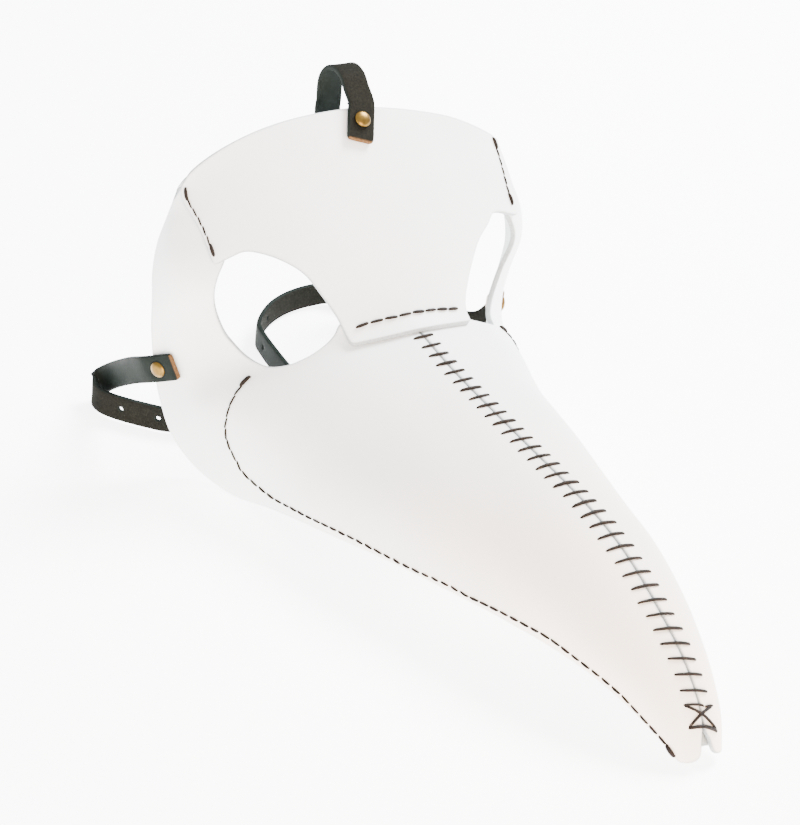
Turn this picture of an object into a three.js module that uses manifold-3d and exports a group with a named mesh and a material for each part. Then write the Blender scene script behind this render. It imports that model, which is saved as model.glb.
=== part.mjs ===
// Bird-beak mask of white leather with a laced ridge, black leather straps and brass rivets, in millimetres.
// The shell is worked out as it is worn: x to the wearer's left, y backward, z up, the forehead rivet at the
// origin. The last lines turn it into the pose in which it lies, on the jaw rims and the tip of the beak.
import * as THREE from 'three';
import { mergeVertices } from 'three/addons/utils/BufferGeometryUtils.js';
import Module from 'manifold-3d';

const wasm = await Module();
wasm.setup();

// Driving dimensions
const HIDE = 2.4;
const GAP = 0.3;
const THREAD = 1.1;
const STRAP_WIDTH = 12;
const STRAP_THICKNESS = 2.2;
const RIVET_HEAD = 7.2;
const RIVET_POST = 3.2;
const RIVET_HOLE = 3.9;
const WASHER = 0.8;
const PUNCHED_HOLE = 3;
const STUD_POST = 3;
const BROW_GAP = 0.75;
const SEAM_HALF_GAP = 0.6;
const TIP_HALF_GAP = 2.6;
const LACING_BARS = 34;
const LACING_PLY = 0.44;
const LYING_TILT = 27.85;
const RIVET_HEIGHT = 150.2;
const STRAP_REST = 6.7;

// One row for each rib of the shell, from the top edge of the brow to the tip of the beak. A rib runs from
// the centre line to the rim: centre forward and up, rim forward and up, half width at the rim, widest half
// width, how deep that lies, how peaked the rib is on the centre line, how far its rim is flared, and how
// far the cheek is hollowed beside the eye.
const RIBS = [
  [-4, 5.5, -20, -15, 79.5, 79.5, 23.5, 0, 0, 0],
  [1.2, -14, -31, -28, 82.5, 83, 31, 0, 3, 0],
  [5.2, -30, -39, -38, 85, 86, 34.5, 0, 6.5, 0],
  [8.4, -46, -44.5, -49, 87, 88, 38, 0, 10.4, 0],
  [10.3, -59, -47.5, -61, 88, 88.5, 44, 0.02, 10.2, 0.2],
  [11.2, -72, -56, -74.5, 86.5, 86, 56, 0.05, 11.5, 3.3],
  [13, -83.5, -66, -88.5, 83, 83, 66, 0.09, 13.6, 4.7],
  [16.5, -89, -70, -102.5, 81, 80.5, 70, 0.12, 14, 4.2],
  [22.5, -94, -69.5, -119, 79, 79, 68, 0.13, 11, 1.9],
  [30, -100.3, -61, -135, 74.5, 76, 66, 0.13, 4, 0],
  [38, -106.7, -42, -148, 68.5, 71.5, 63, 0.12, 0, 0],
  [47, -113.3, -17.5, -154, 64, 66.5, 59.5, 0.11, 0, 0],
  [57.5, -120.5, 8, -161.7, 59.5, 62.5, 55, 0.1, 0, 0],
  [73, -130.8, 36, -170.7, 54, 56.5, 50, 0.1, 0, 0],
  [90, -142, 65, -182.5, 46, 48, 45, 0.1, 0, 0],
  [107, -153.5, 90, -193.5, 38.5, 40, 40, 0.1, 0, 0],
  [122, -165, 109, -203, 32.5, 34.5, 34.5, 0.1, 0, 0],
  [135, -177.3, 123, -211.3, 27, 29.5, 29, 0.1, 0, 0],
  [146, -191, 134.5, -219, 23, 25.5, 24, 0.1, 0, 0],
  [155, -204.7, 143, -226.7, 19.5, 21.5, 19.5, 0.1, 0, 0],
  [161.8, -218, 149.5, -234.5, 16, 17.7, 15.5, 0.1, 0, 0],
  [166.4, -234, 158.5, -246.5, 11.8, 13.2, 11.5, 0.1, 0, 0],
  [167.6, -252.5, 163, -256.6, 8.6, 8.8, 5.4, 0.1, 0, 0],
];
const LAST_RIB = RIBS.length - 1;
const ROUND_SHARE = 0.8;
const FLARE_SHARE = 0.43;
const FLARE_POWER = 1.6;
const HOLLOW = { from: 0.28, full: 0.47, until: 0.52, end: 0.76 };
const FLARE_WAY = { out: 0.43, forward: 0.9, up: 0.03 };

const clamp = THREE.MathUtils.clamp;
const lerp = THREE.MathUtils.lerp;
const smooth = (x, from, to) => THREE.MathUtils.smoothstep(x, from, to);

// Smooth curve through rows of numbers, passing row i at u = i
function through(rows, u) {
  const last = rows.length - 1;
  const i = clamp(Math.floor(u), 0, last - 1);
  const f = u - i;
  const p1 = rows[i];
  const p2 = rows[i + 1];
  const p0 = i > 0 ? rows[i - 1] : p1.map((v, k) => 2 * v - p2[k]);
  const p3 = i + 2 <= last ? rows[i + 2] : p2.map((v, k) => 2 * v - p1[k]);
  return p1.map((v, k) => 0.5 * (2 * v + (p2[k] - p0[k]) * f
    + (2 * p0[k] - 5 * v + 4 * p2[k] - p3[k]) * f * f
    + (3 * v - p0[k] - 3 * p2[k] + p3[k]) * f * f * f));
}

// Point of the shell at rib s and share t of the way from the centre line (0) to the rim (1)
function shellPoint(s, t) {
  const [cf, cu, rf, ru, rimHalf, widest, widestDepth, peak, rimFlare, eyeHollow] =
    through(RIBS, clamp(s, 0, LAST_RIB));
  const length = Math.hypot(rf - cf, ru - cu);
  const deep = Math.min(widestDepth, 0.995 * length);
  const turn = clamp(t / ROUND_SHARE, 0, 1) * Math.PI / 2;
  const back = Math.max(t - ROUND_SHARE, 0) / (1 - ROUND_SHARE);
  const depth = deep * ((1 - peak) * (1 - Math.cos(turn)) + peak * Math.sin(turn)) + (length - deep) * back;
  const half = widest * Math.sin(turn) - (widest - rimHalf) * back * back;
  const hollow = smooth(t, HOLLOW.from, HOLLOW.full) * (1 - smooth(t, HOLLOW.until, HOLLOW.end));
  const flare = rimFlare * Math.pow(Math.max(t - FLARE_SHARE, 0) / (1 - FLARE_SHARE), FLARE_POWER) -
    eyeHollow * hollow;
  const forward = cf + (rf - cf) * depth / length + FLARE_WAY.forward * flare;
  const up = cu + (ru - cu) * depth / length + FLARE_WAY.up * flare;
  return new THREE.Vector3(half + FLARE_WAY.out * flare, -forward, up);
}

function shellNormal(s, t) {
  const step = 0.002;
  const alongRibs = shellPoint(s + step, t).sub(shellPoint(s - step, t));
  const acrossRib = shellPoint(s, t + step).sub(shellPoint(s, Math.max(t - step, 0)));
  const normal = alongRibs.cross(acrossRib);
  if (t <= 0) normal.x = 0;
  return normal.normalize();
}

// Point at a height over the shell, on the wearer's left (side 1) or right (side -1)
function onShell(s, t, height, side) {
  const p = shellPoint(s, t).addScaledVector(shellNormal(s, t), height);
  p.x *= side;
  return p;
}

// Rib and share of the shell point that has a given forward and up place
function locate(forward, up) {
  let s = 0;
  let t = 0;
  let best = Infinity;
  for (let i = 0; i <= LAST_RIB * 4; i++) {
    for (let j = 0; j <= 20; j++) {
      const p = shellPoint(i / 4, j / 20);
      const far = Math.hypot(-p.y - forward, p.z - up);
      if (far < best) [best, s, t] = [far, i / 4, j / 20];
    }
  }
  for (let round = 0; round < 12; round++) {
    const p = shellPoint(s, t);
    const step = 0.001;
    const ps = shellPoint(s + step, t).sub(p).divideScalar(step);
    const pt = shellPoint(s, t + step).sub(p).divideScalar(step);
    const ef = forward + p.y;
    const eu = up - p.z;
    const det = -ps.y * pt.z + pt.y * ps.z;
    s = clamp(s + (ef * pt.z + pt.y * eu) / det, 0, LAST_RIB);
    t = clamp(t + (-ps.y * eu - ps.z * ef) / det, 0, 1);
  }
  return [s, t];
}

const seamHalf = (s) => SEAM_HALF_GAP + TIP_HALF_GAP * smooth(s, 21.2, 22);

// Share of the rib at which the shell reaches a given half width
const shareAt = (s, half) => ROUND_SHARE * Math.asin(clamp(half / through(RIBS, s)[5], 0, 1)) * 2 / Math.PI;

// Closed sheet from a grid of outer points and the matching grid of inner points
function closedSheet(outer, inner) {
  const rows = outer.length;
  const columns = outer[0].length;
  const positions = [...outer, ...inner].flatMap((line) => line.flatMap((p) => [p.x, p.y, p.z]));
  const index = [];
  const at = (layer, i, j) => (layer * rows + i) * columns + j;
  const quad = (a, b, c, d) => index.push(a, b, c, a, c, d);
  for (let i = 0; i < rows - 1; i++) {
    for (let j = 0; j < columns - 1; j++) {
      quad(at(0, i, j), at(0, i + 1, j), at(0, i + 1, j + 1), at(0, i, j + 1));
      quad(at(1, i, j), at(1, i, j + 1), at(1, i + 1, j + 1), at(1, i + 1, j));
    }
    quad(at(0, i, 0), at(1, i, 0), at(1, i + 1, 0), at(0, i + 1, 0));
    quad(at(0, i, columns - 1), at(0, i + 1, columns - 1), at(1, i + 1, columns - 1), at(1, i, columns - 1));
  }
  for (let j = 0; j < columns - 1; j++) {
    quad(at(0, 0, j), at(0, 0, j + 1), at(1, 0, j + 1), at(1, 0, j));
    quad(at(0, rows - 1, j), at(1, rows - 1, j), at(1, rows - 1, j + 1), at(0, rows - 1, j + 1));
  }
  const geometry = new THREE.BufferGeometry();
  geometry.setAttribute('position', new THREE.Float32BufferAttribute(positions, 3));
  geometry.setIndex(index);
  return facingOut(geometry);
}

// Turns the faces over where the volume they enclose comes out negative
function facingOut(geometry) {
  const position = geometry.getAttribute('position');
  const index = geometry.getIndex().array;
  const [a, b, c] = [new THREE.Vector3(), new THREE.Vector3(), new THREE.Vector3()];
  let volume = 0;
  for (let i = 0; i < index.length; i += 3) {
    a.fromBufferAttribute(position, index[i]);
    b.fromBufferAttribute(position, index[i + 1]);
    c.fromBufferAttribute(position, index[i + 2]);
    volume += a.dot(b.cross(c));
  }
  if (volume < 0) {
    for (let i = 0; i < index.length; i += 3) [index[i + 1], index[i + 2]] = [index[i + 2], index[i + 1]];
  }
  return geometry;
}

function toSolid(geometry) {
  const bare = geometry.clone();
  bare.deleteAttribute('normal');
  bare.deleteAttribute('uv');
  const merged = mergeVertices(bare, 1e-4);
  return new wasm.Manifold(new wasm.Mesh({
    numProp: 3,
    vertProperties: new Float32Array(merged.getAttribute('position').array),
    triVerts: new Uint32Array(merged.getIndex().array),
  }));
}

function toGeometry(solid) {
  const mesh = solid.getMesh();
  const geometry = new THREE.BufferGeometry();
  geometry.setAttribute('position', new THREE.BufferAttribute(new Float32Array(mesh.vertProperties), 3));
  geometry.setIndex(new THREE.BufferAttribute(new Uint32Array(mesh.triVerts), 1));
  return geometry;
}

const yAxis = new THREE.Vector3(0, 1, 0);

// Cylinder for cutting, centred on a point with its axis along a direction
function cutter(centre, direction, diameter, length, sides = 10) {
  const geometry = new THREE.CylinderGeometry(diameter / 2, diameter / 2, length, sides);
  geometry.applyQuaternion(new THREE.Quaternion().setFromUnitVectors(yAxis, direction));
  geometry.translate(centre.x, centre.y, centre.z);
  return geometry;
}

function drilled(geometry, cutters) {
  let solid = toSolid(geometry);
  for (const tool of cutters) solid = solid.subtract(toSolid(tool));
  return toGeometry(solid);
}

// Materials
const hide = new THREE.MeshStandardMaterial({ color: 0xece9e6, roughness: 0.55, metalness: 0 });
const strapLeather = new THREE.MeshStandardMaterial({ color: 0x1c2122, roughness: 0.45, metalness: 0 });
const brass = new THREE.MeshStandardMaterial({ color: 0xa98443, roughness: 0.35, metalness: 1 });
const thread = new THREE.MeshStandardMaterial({ color: 0x1d1815, roughness: 0.7, metalness: 0 });

const mask = new THREE.Group();
const part = new THREE.Group();
function add(group, name, geometry, material) {
  const mesh = new THREE.Mesh(geometry, material);
  mesh.name = name;
  group.add(mesh);
}

// Places of the rivets on the shell, and the frame of each: centre on the shell, and outward normal
const BROW_LIFT = BROW_GAP + HIDE;
const foreheadRivet = { s: 0.35, t: 0.015, side: -1, base: BROW_LIFT };
const sideRivet = (side) => ({ s: 6.1, t: side > 0 ? 0.9 : 0.87, side, base: 0 });
function rivetFrame({ s, t, side, base }) {
  const normal = shellNormal(s, t);
  normal.x *= side;
  return { foot: onShell(s, t, base, side), normal };
}

// Rivet of brass: domed cap, post through the leather and flat washer behind, on its axis along y
function rivetGeometry(grip) {
  const r = RIVET_HEAD / 2;
  const cap = grip + GAP;
  const post = RIVET_POST / 2;
  const washer = -GAP - WASHER;
  const profile = [[0, cap + 1.7], [r * 0.6, cap + 1.3], [r, cap + 0.3], [r, cap], [post, cap],
    [post, -GAP], [r, -GAP], [r, washer], [0, washer]];
  const geometry = new THREE.LatheGeometry(profile.map(([x, y]) => new THREE.Vector2(x, y)), 8);
  geometry.deleteAttribute('normal');
  geometry.deleteAttribute('uv');
  return facingOut(mergeVertices(geometry, 1e-4));
}

function placedRivet(innerPoint, normal, grip) {
  const geometry = rivetGeometry(grip);
  geometry.applyQuaternion(new THREE.Quaternion().setFromUnitVectors(yAxis, normal));
  geometry.translate(innerPoint.x, innerPoint.y, innerPoint.z);
  return geometry;
}

// Side panels: cheek, temple and one side of the beak, each cut from one hide. The free edge runs up the
// ridge, under the nose tab, round the eye hole and up the temple under the brow; each of its points pairs
// with a rib on the rim, and the lines between them leave the edge toward the beak.
const HOLE_EDGE = [
  [5.9, -85.1, 12.9], [4.6, -89.2, 12.2], [2.7, -92.1, 11.5], [-2.5, -95.2, 10.7],
  [-8, -94.7, 10], [-15, -89.6, 8.9], [-18.1, -78.2, 7.3], [-15.6, -68.5, 6],
  [-12, -61.1, 5.1], [-9.1, -54.1, 4.3], [-7.8, -48, 3.7],
];
const HOLE_STEPS = [1, 1, 1, 1, 2, 2, 2, 1, 1, 1];
const UNDER_TAB = [[5.3, 0.01, 13.4], [5.45, 0.12, 13.25], [5.75, 0.18, 13.1]];
const TEMPLE_EDGE = [[2.6, 0.465, 3.1], [1.9, 0.49, 2.2], [1.2, 0.53, 1.25], [0.6, 0.58, 0.22]];
const RIDGE_PAIRS = [[22, 22], [21, 21], [20, 20.2], [19, 19.5], [12, 15.4], [7.8, 13.6]];

const skived = (s) => 1 - 0.5 * smooth(s, 20.5, 22);
const rimShare = (rim) => 1 - 0.1 * smooth(rim, 21.4, 22) - 0.2 * (1 - smooth(rim, 0.2, 1.1));

function sidePanel(side, across) {
  const pairs = [];
  const spread = (rows, steps) => {
    for (let i = 0; i < rows.length - 1; i++) {
      for (let k = 0; k < steps[i]; k++) pairs.push(through(rows, i + k / steps[i]));
    }
  };
  const ridge = RIDGE_PAIRS.map(([s, rim]) => [s, shareAt(s, seamHalf(s)), rim]);
  const hole = HOLE_EDGE.map(([forward, up, rim]) => [...locate(forward, up), rim]);
  spread([...ridge, UNDER_TAB[0]], [4, 3, 2, 7, 4, 3]);
  spread([...UNDER_TAB, hole[0]], [1, 1, 1]);
  spread(hole, HOLE_STEPS);
  spread([hole[hole.length - 1], ...TEMPLE_EDGE], [1, 1, 1, 3]);
  pairs.push(TEMPLE_EDGE[TEMPLE_EDGE.length - 1]);
  const layer = (height) => pairs.map(([s, t, rim]) => {
    const line = [];
    for (let j = 0; j <= across; j++) {
      const k = j / across;
      const sHere = lerp(s, rim, k);
      const tHere = lerp(t, rimShare(rim), Math.pow(k, 1.42));
      const thinned = height * skived(sHere);
      const p = onShell(sHere, Math.max(tHere, shareAt(sHere, seamHalf(sHere))), thinned, side);
      p.x = side * Math.max(side * p.x, seamHalf(sHere));
      line.push(p);
    }
    return line;
  });
  return closedSheet(layer(0), layer(-HIDE));
}

for (const [name, side] of [['left', 1], ['right', -1]]) {
  const { foot, normal } = rivetFrame(sideRivet(side));
  const hole = cutter(foot, normal, RIVET_HOLE, 4 * HIDE);
  add(mask, `side_panel_${name}`, drilled(sidePanel(side, 7), [hole]), hide);
}

// Brow: one hide over the forehead and temples, cut out above both eyes, with a tab down the nose. Its top
// edge sits a little lower on the wearer's left, as it was cut by hand.
const BROW_TOP = {
  right: [[0.05, 0], [0, 0.25], [0.04, 0.376], [0.14, 0.554], [0.24, 0.66], [0.44, 0.69]],
  left: [[0.05, 0], [0.2, 0.2], [0.3, 0.32], [0.43, 0.42], [0.5, 0.54], [0.5, 0.69]],
};
const BROW_EYE = [[11, -92.4, 0.55], [6.3, -81.1, 0.8], [5.1, -67.7, 1.2], [4.4, -59.2, 1.8],
  [1.4, -51.5, 2.4], [-0.8, -48.4, 2.9], [-3.4, -46.6, 3.4], [-6.4, -47.6, 4.1], [-9.8, -50.4, 5]];
const TAB_END = 7.42;

function browHalf(top, count) {
  const eye = BROW_EYE.map(([forward, up, high]) => [...locate(forward, up), high]);
  const tabColumns = Math.round(count * 0.25);
  const line = [];
  for (let i = 0; i <= count; i++) {
    const [s, t, high] = i <= tabColumns
      ? [lerp(TAB_END, eye[0][0], i / tabColumns), eye[0][1] * i / tabColumns, eye[0][2] * i / tabColumns]
      : through(eye, (eye.length - 1) * (i - tabColumns) / (count - tabColumns));
    line.push({ high: through(top, high), low: [s, t] });
  }
  return line;
}

function browPanel(count, down) {
  const right = browHalf(BROW_TOP.right, count).map((edge) => ({ ...edge, side: -1 }));
  const left = browHalf(BROW_TOP.left, count).map((edge) => ({ ...edge, side: 1 }));
  const columns = [...right.reverse(), ...left.slice(1)];
  const layer = (height) => columns.map(({ high, low, side }) => {
    const line = [];
    for (let j = 0; j <= down; j++) {
      const k = j / down;
      line.push(onShell(lerp(high[0], low[0], k), lerp(high[1], low[1], k), height, side));
    }
    return line;
  });
  return closedSheet(layer(BROW_LIFT), layer(BROW_GAP));
}

const forehead = rivetFrame(foreheadRivet);
add(mask, 'brow_panel',
  drilled(browPanel(11, 9), [cutter(forehead.foot, forehead.normal, RIVET_HOLE, 4 * HIDE)]), hide);

// Under-beak panel: the gusset that closes the beak below. Its turned edges lie inside the side panels,
// level with their rims, and at the back it runs up inside the cheeks in two horns beside the nose.
const BEAK_SEAM = [
  [-13.8, -98], [-18.3, -105.2], [-23, -113.5], [-24.8, -122], [-22.1, -135], [-13.4, -144.4],
  [3.6, -153.3], [29.5, -162.3], [62, -175.5], [92, -190], [121, -205], [139, -218.3], [152.5, -233.5],
  [162, -247],
];
const GUSSET_START = 8.7;
const GUSSET_BACK = 11.3;
const GUSSET_END = 21.6;
const GUSSET_LEVEL = 0.97;
const FLAT_ARCH = 2 / 2.6;

// Place on rib s at a depth from the centre line, and the half width of the shell there
function ribDepth(s, depth) {
  const [cf, cu, rf, ru] = through(RIBS, s);
  const length = Math.hypot(rf - cf, ru - cu);
  let [low, high] = [0, 1];
  const depthOf = (t) => {
    const p = shellPoint(s, t);
    return Math.hypot(-p.y - cf, p.z - cu);
  };
  for (let round = 0; round < 24; round++) {
    const middle = (low + high) / 2;
    if (depthOf(middle) < depth) low = middle;
    else high = middle;
  }
  return { t: low, half: shellPoint(s, low).x, forward: cf + (rf - cf) * depth / length,
    up: cu + (ru - cu) * depth / length };
}

function gussetMiddle(s, turn) {
  const [cf, cu, rf, ru] = through(RIBS, s);
  const length = Math.hypot(rf - cf, ru - cu);
  const horn = smooth(s, GUSSET_START - 1, GUSSET_BACK + 0.2);
  const level = length * lerp(0.36, GUSSET_LEVEL, Math.pow(horn, 0.75)) - 0.5;
  const rise = lerp(3.2, 15, smooth(length, 9, 45));
  const depth = level - rise * Math.pow(Math.sin(turn), FLAT_ARCH);
  const wall = ribDepth(s, depth);
  const slope = wall.half - ribDepth(s, depth - 1).half;
  const clear = (HIDE + 3.4 * GAP + HIDE / 2) * Math.hypot(1, slope);
  const narrowed = Math.max(wall.half - clear - 1.2 * smooth(s, 20.6, 21.6), 0.5);
  const half = narrowed * Math.pow(Math.max(Math.cos(turn), 0), FLAT_ARCH);
  return new THREE.Vector3(half, -wall.forward, wall.up);
}

function underBeak(along, across) {
  const point = (i, j) => {
    const v = i / along;
    const w = j / across;
    const start = lerp(GUSSET_START, GUSSET_BACK, Math.pow(w, 0.8));
    const s = lerp(start, GUSSET_END, Math.pow(v, 1 + 0.3 * (1 - w)));
    return gussetMiddle(s, w * Math.PI / 2);
  };
  const middle = [];
  for (let i = 0; i <= along; i++) {
    const half = [];
    for (let j = 0; j <= across; j++) half.push(point(i, j));
    const mirrored = half.slice(0, -1).map((p) => new THREE.Vector3(-p.x, p.y, p.z));
    half[across].x = 0;
    middle.push([...mirrored, ...half.reverse()]);
  }
  const shifted = (side) => middle.map((line, i) => line.map((p, j) => {
    const a = middle[Math.max(i - 1, 0)][j];
    const b = middle[Math.min(i + 1, along)][j];
    const c = line[Math.max(j - 1, 0)];
    const d = line[Math.min(j + 1, line.length - 1)];
    const normal = b.clone().sub(a).cross(d.clone().sub(c)).normalize();
    return p.clone().addScaledVector(normal, side * HIDE / 2 * lerp(0.4, 1, smooth(i, 0, 4)));
  }));
  return closedSheet(shifted(1), shifted(-1));
}
add(mask, 'under_beak_panel', underBeak(19, 5), hide);

// Waxed thread along a line of points, as one thin rod
function rod(points, steps) {
  const section = new THREE.Shape();
  for (let i = 0; i < 3; i++) {
    const angle = 2 * Math.PI * (i + 0.5) / 3;
    const [x, y] = [Math.cos(angle) * THREAD / 2, Math.sin(angle) * THREAD / 2];
    if (i === 0) section.moveTo(x, y);
    else section.lineTo(x, y);
  }
  const path = new THREE.CatmullRomCurve3(points);
  return new THREE.ExtrudeGeometry(section, { steps, extrudePath: path, bevelEnabled: false });
}

// Saddle stitching: the beak seam on each side, the temples and the tab
const OVER_HIDE = GAP + THREAD / 2;
const TEMPLE_SEAM = [[0.63, 0.643], [1.91, 0.558], [2.93, 0.516]];
const TAB_SEAM = [6.08, 0.16];
for (const [name, side] of [['left', 1], ['right', -1]]) {
  const beak = BEAK_SEAM.map(([forward, up]) => locate(forward, up));
  const beakLine = [];
  for (let i = 0; i <= 40; i++) {
    const [s, t] = through(beak, (beak.length - 1) * i / 40);
    beakLine.push(onShell(s, t, OVER_HIDE, side));
  }
  add(mask, `beak_stitching_${name}`, rod(beakLine, 40), thread);
  const templeLine = [];
  for (let i = 0; i <= 8; i++) {
    const [s, t] = through(TEMPLE_SEAM, (TEMPLE_SEAM.length - 1) * i / 8);
    templeLine.push(onShell(s, t, BROW_LIFT + OVER_HIDE, side));
  }
  add(mask, `temple_stitching_${name}`, rod(templeLine, 8), thread);
}
const tabLine = [];
for (let i = -4; i <= 4; i++) {
  tabLine.push(onShell(TAB_SEAM[0], TAB_SEAM[1] * Math.abs(i) / 4, BROW_LIFT + OVER_HIDE, Math.sign(i) || 1));
}
add(mask, 'tab_stitching', rod(tabLine, 10), thread);

// Ridge lacing: ladder stitches over the butt seam, ending in a crossed stitch, joined by the thread that
// runs on inside the seam
const LACING_FIRST = 7.8;
const LACING_LAST = 20.6;
const CROSS_TOP = 21.08;
const CROSS_END = 21.42;
const CROSS_HALF = 6.1;

function ridgePlaces(count) {
  const fine = [];
  let run = 0;
  for (let i = 0; i <= 400; i++) {
    const s = lerp(LACING_FIRST, LACING_LAST, i / 400);
    if (i > 0) run += shellPoint(s, 0).distanceTo(shellPoint(fine[i - 1].s, 0));
    fine.push({ s, run });
  }
  const places = [];
  for (let k = 0; k < count; k++) {
    places.push(fine.find((place) => place.run >= run * k / (count - 1) - 1e-6) ?? fine[400]);
  }
  return { places, perRib: (s) => shellPoint(s + 0.01, 0).distanceTo(shellPoint(s - 0.01, 0)) / 0.02 };
}

function overRidge(s, half, drop, steps) {
  const points = [];
  for (let i = 0; i <= steps; i++) {
    const x = lerp(-half, half, i / steps);
    const here = s + drop * i / steps;
    points.push(onShell(here, shareAt(here, Math.abs(x)), OVER_HIDE, Math.sign(x) || 1));
  }
  return points;
}

function crossStitch(way) {
  const points = [];
  for (let i = 0; i <= 4; i++) {
    const x = way * lerp(-CROSS_HALF, CROSS_HALF, i / 4);
    const s = lerp(CROSS_TOP, CROSS_END, i / 4);
    points.push(onShell(s, shareAt(s, Math.abs(x)), OVER_HIDE, Math.sign(x) || 1));
  }
  return points;
}

function lacing() {
  const { places, perRib } = ridgePlaces(LACING_BARS);
  const halfWidth = new THREE.Vector3(LACING_PLY / 2, 0, 0);
  const spine = [[], []];
  for (let i = 0; i <= 16; i++) {
    const s = lerp(LACING_FIRST - 0.1, CROSS_END, i / 16);
    const normal = shellNormal(s, 0);
    const high = shellPoint(s, 0).addScaledVector(normal, OVER_HIDE);
    const low = shellPoint(s, 0).addScaledVector(normal, -1.4);
    spine[0].push([high.clone().sub(halfWidth), low.clone().sub(halfWidth)]);
    spine[1].push([high.add(halfWidth), low.add(halfWidth)]);
  }
  let solid = toSolid(closedSheet(...spine));
  const join = (points) => {
    solid = solid.add(toSolid(rod(points, points.length - 1)));
  };
  places.forEach(({ s }, k) => {
    const half = lerp(5.3, 6.9, smooth(k, 0, 24)) - 0.7 * smooth(k, 26, 33);
    const drop = 3.6 * smooth(k, 19, 33) / perRib(s);
    join(overRidge(s - drop / 2, half, drop, 2));
  });
  join(overRidge(CROSS_TOP, CROSS_HALF, 0, 2));
  join(crossStitch(1));
  join(crossStitch(-1));
  join(overRidge(CROSS_END, CROSS_HALF, 0, 2));
  return toGeometry(solid);
}
add(mask, 'ridge_lacing', lacing(), thread);

// Flat strap swept along a route. Each row of the route is a place and the direction of the strap's width.
function strapGeometry(route, steps) {
  const rows = [];
  for (let i = 0; i <= steps; i++) rows.push(through(route, (route.length - 1) * i / steps));
  const centre = (row) => new THREE.Vector3(row[0], row[1], row[2]);
  const outer = [];
  const inner = [];
  rows.forEach((row, i) => {
    const along = centre(rows[Math.min(i + 1, steps)]).sub(centre(rows[Math.max(i - 1, 0)])).normalize();
    const width = new THREE.Vector3(row[3], row[4], row[5]);
    width.addScaledVector(along, -width.dot(along)).normalize().multiplyScalar(STRAP_WIDTH / 2);
    const thick = along.clone().cross(width).normalize().multiplyScalar(STRAP_THICKNESS / 2);
    const p = centre(row);
    outer.push([p.clone().add(thick).sub(width), p.clone().add(thick).add(width)]);
    inner.push([p.clone().sub(thick).sub(width), p.clone().sub(thick).add(width)]);
  });
  return closedSheet(outer, inner);
}

// From the worn frame to the frame it lies in, before the last shift to the middle of its floor
const lie = new THREE.Matrix4().makeRotationX(-THREE.MathUtils.degToRad(LYING_TILT));
lie.setPosition(0, 0, RIVET_HEIGHT);
const laid = (p) => p.clone().applyMatrix4(lie);
const laidDirection = (v) => v.clone().transformDirection(lie);

// Side straps: riveted outside each cheek, they fall back to the floor, curl in and meet on a stud. Rows
// are places in the lying frame; the width of the strap stands upright once it is down.
const STRAP_FALL = {
  right: [[-91, 8.2, 44.7], [-88.8, 23.8, 36], [-85.1, 41.7, 25], [-83, 56, 15.5], [-84.1, 63, 9.6],
    [-87.2, 62.4, 7.4], [-89.9, 57.8, STRAP_REST], [-89.6, 50.8, STRAP_REST], [-86.4, 44.2, STRAP_REST],
    [-81.4, 37.3, STRAP_REST], [-75.8, 30.7, STRAP_REST], [-69.8, 24.9, STRAP_REST],
    [-50, 12.5, STRAP_REST], [-40, 12, STRAP_REST], [-30, 12, STRAP_REST], [-14, 12, STRAP_REST]],
  left: [[92.6, 11.1, 38], [92.4, 21.3, 27], [91.1, 43.3, 18.5], [85.8, 62.7, 13.2], [80.8, 77.4, 10.4],
    [76.9, 93.4, 8.6], [71.6, 103.8, 7.4], [65.4, 110.1, STRAP_REST], [56.5, 110.5, STRAP_REST],
    [47.3, 109.5, STRAP_REST], [37.5, 106.6, STRAP_REST], [27.1, 101.1, STRAP_REST],
    [17.6, 93.1, STRAP_REST], [9.1, 82.8, STRAP_REST], [6.2, 72.8, STRAP_REST], [4.1, 61.6, STRAP_REST],
    [1.7, 46, STRAP_REST], [-0.2, 31.7, STRAP_REST], [-3, 21.5, STRAP_REST], [-10, 16.5, STRAP_REST],
    [-19, 15.1, STRAP_REST], [-30, 15, STRAP_REST], [-46, 15, STRAP_REST]],
};
const ON_STRAP = GAP + STRAP_THICKNESS / 2;

function sideStrap(name, side) {
  const { foot, normal } = rivetFrame(sideRivet(side));
  const back = new THREE.Vector3(0, 1, 0);
  back.addScaledVector(normal, -back.dot(normal)).normalize();
  const width = normal.clone().cross(back);
  const upright = laidDirection(width);
  const start = [side > 0 ? -5.2 : -9, 0].map((run) => {
    const [s, t] = locate(-foot.y - run, foot.z);
    const p = laid(onShell(s, t, ON_STRAP + 2.4 * GAP, side));
    return [p.x, p.y, p.z, upright.x, upright.y, upright.z];
  });
  const fall = STRAP_FALL[name].map(([x, y, z], i) => {
    const stand = smooth(i, -1, 4);
    return [x, y, z, lerp(upright.x, 0, stand), lerp(upright.y, 0, stand), lerp(upright.z, side, stand)];
  });
  return [...start, ...fall];
}

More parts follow.
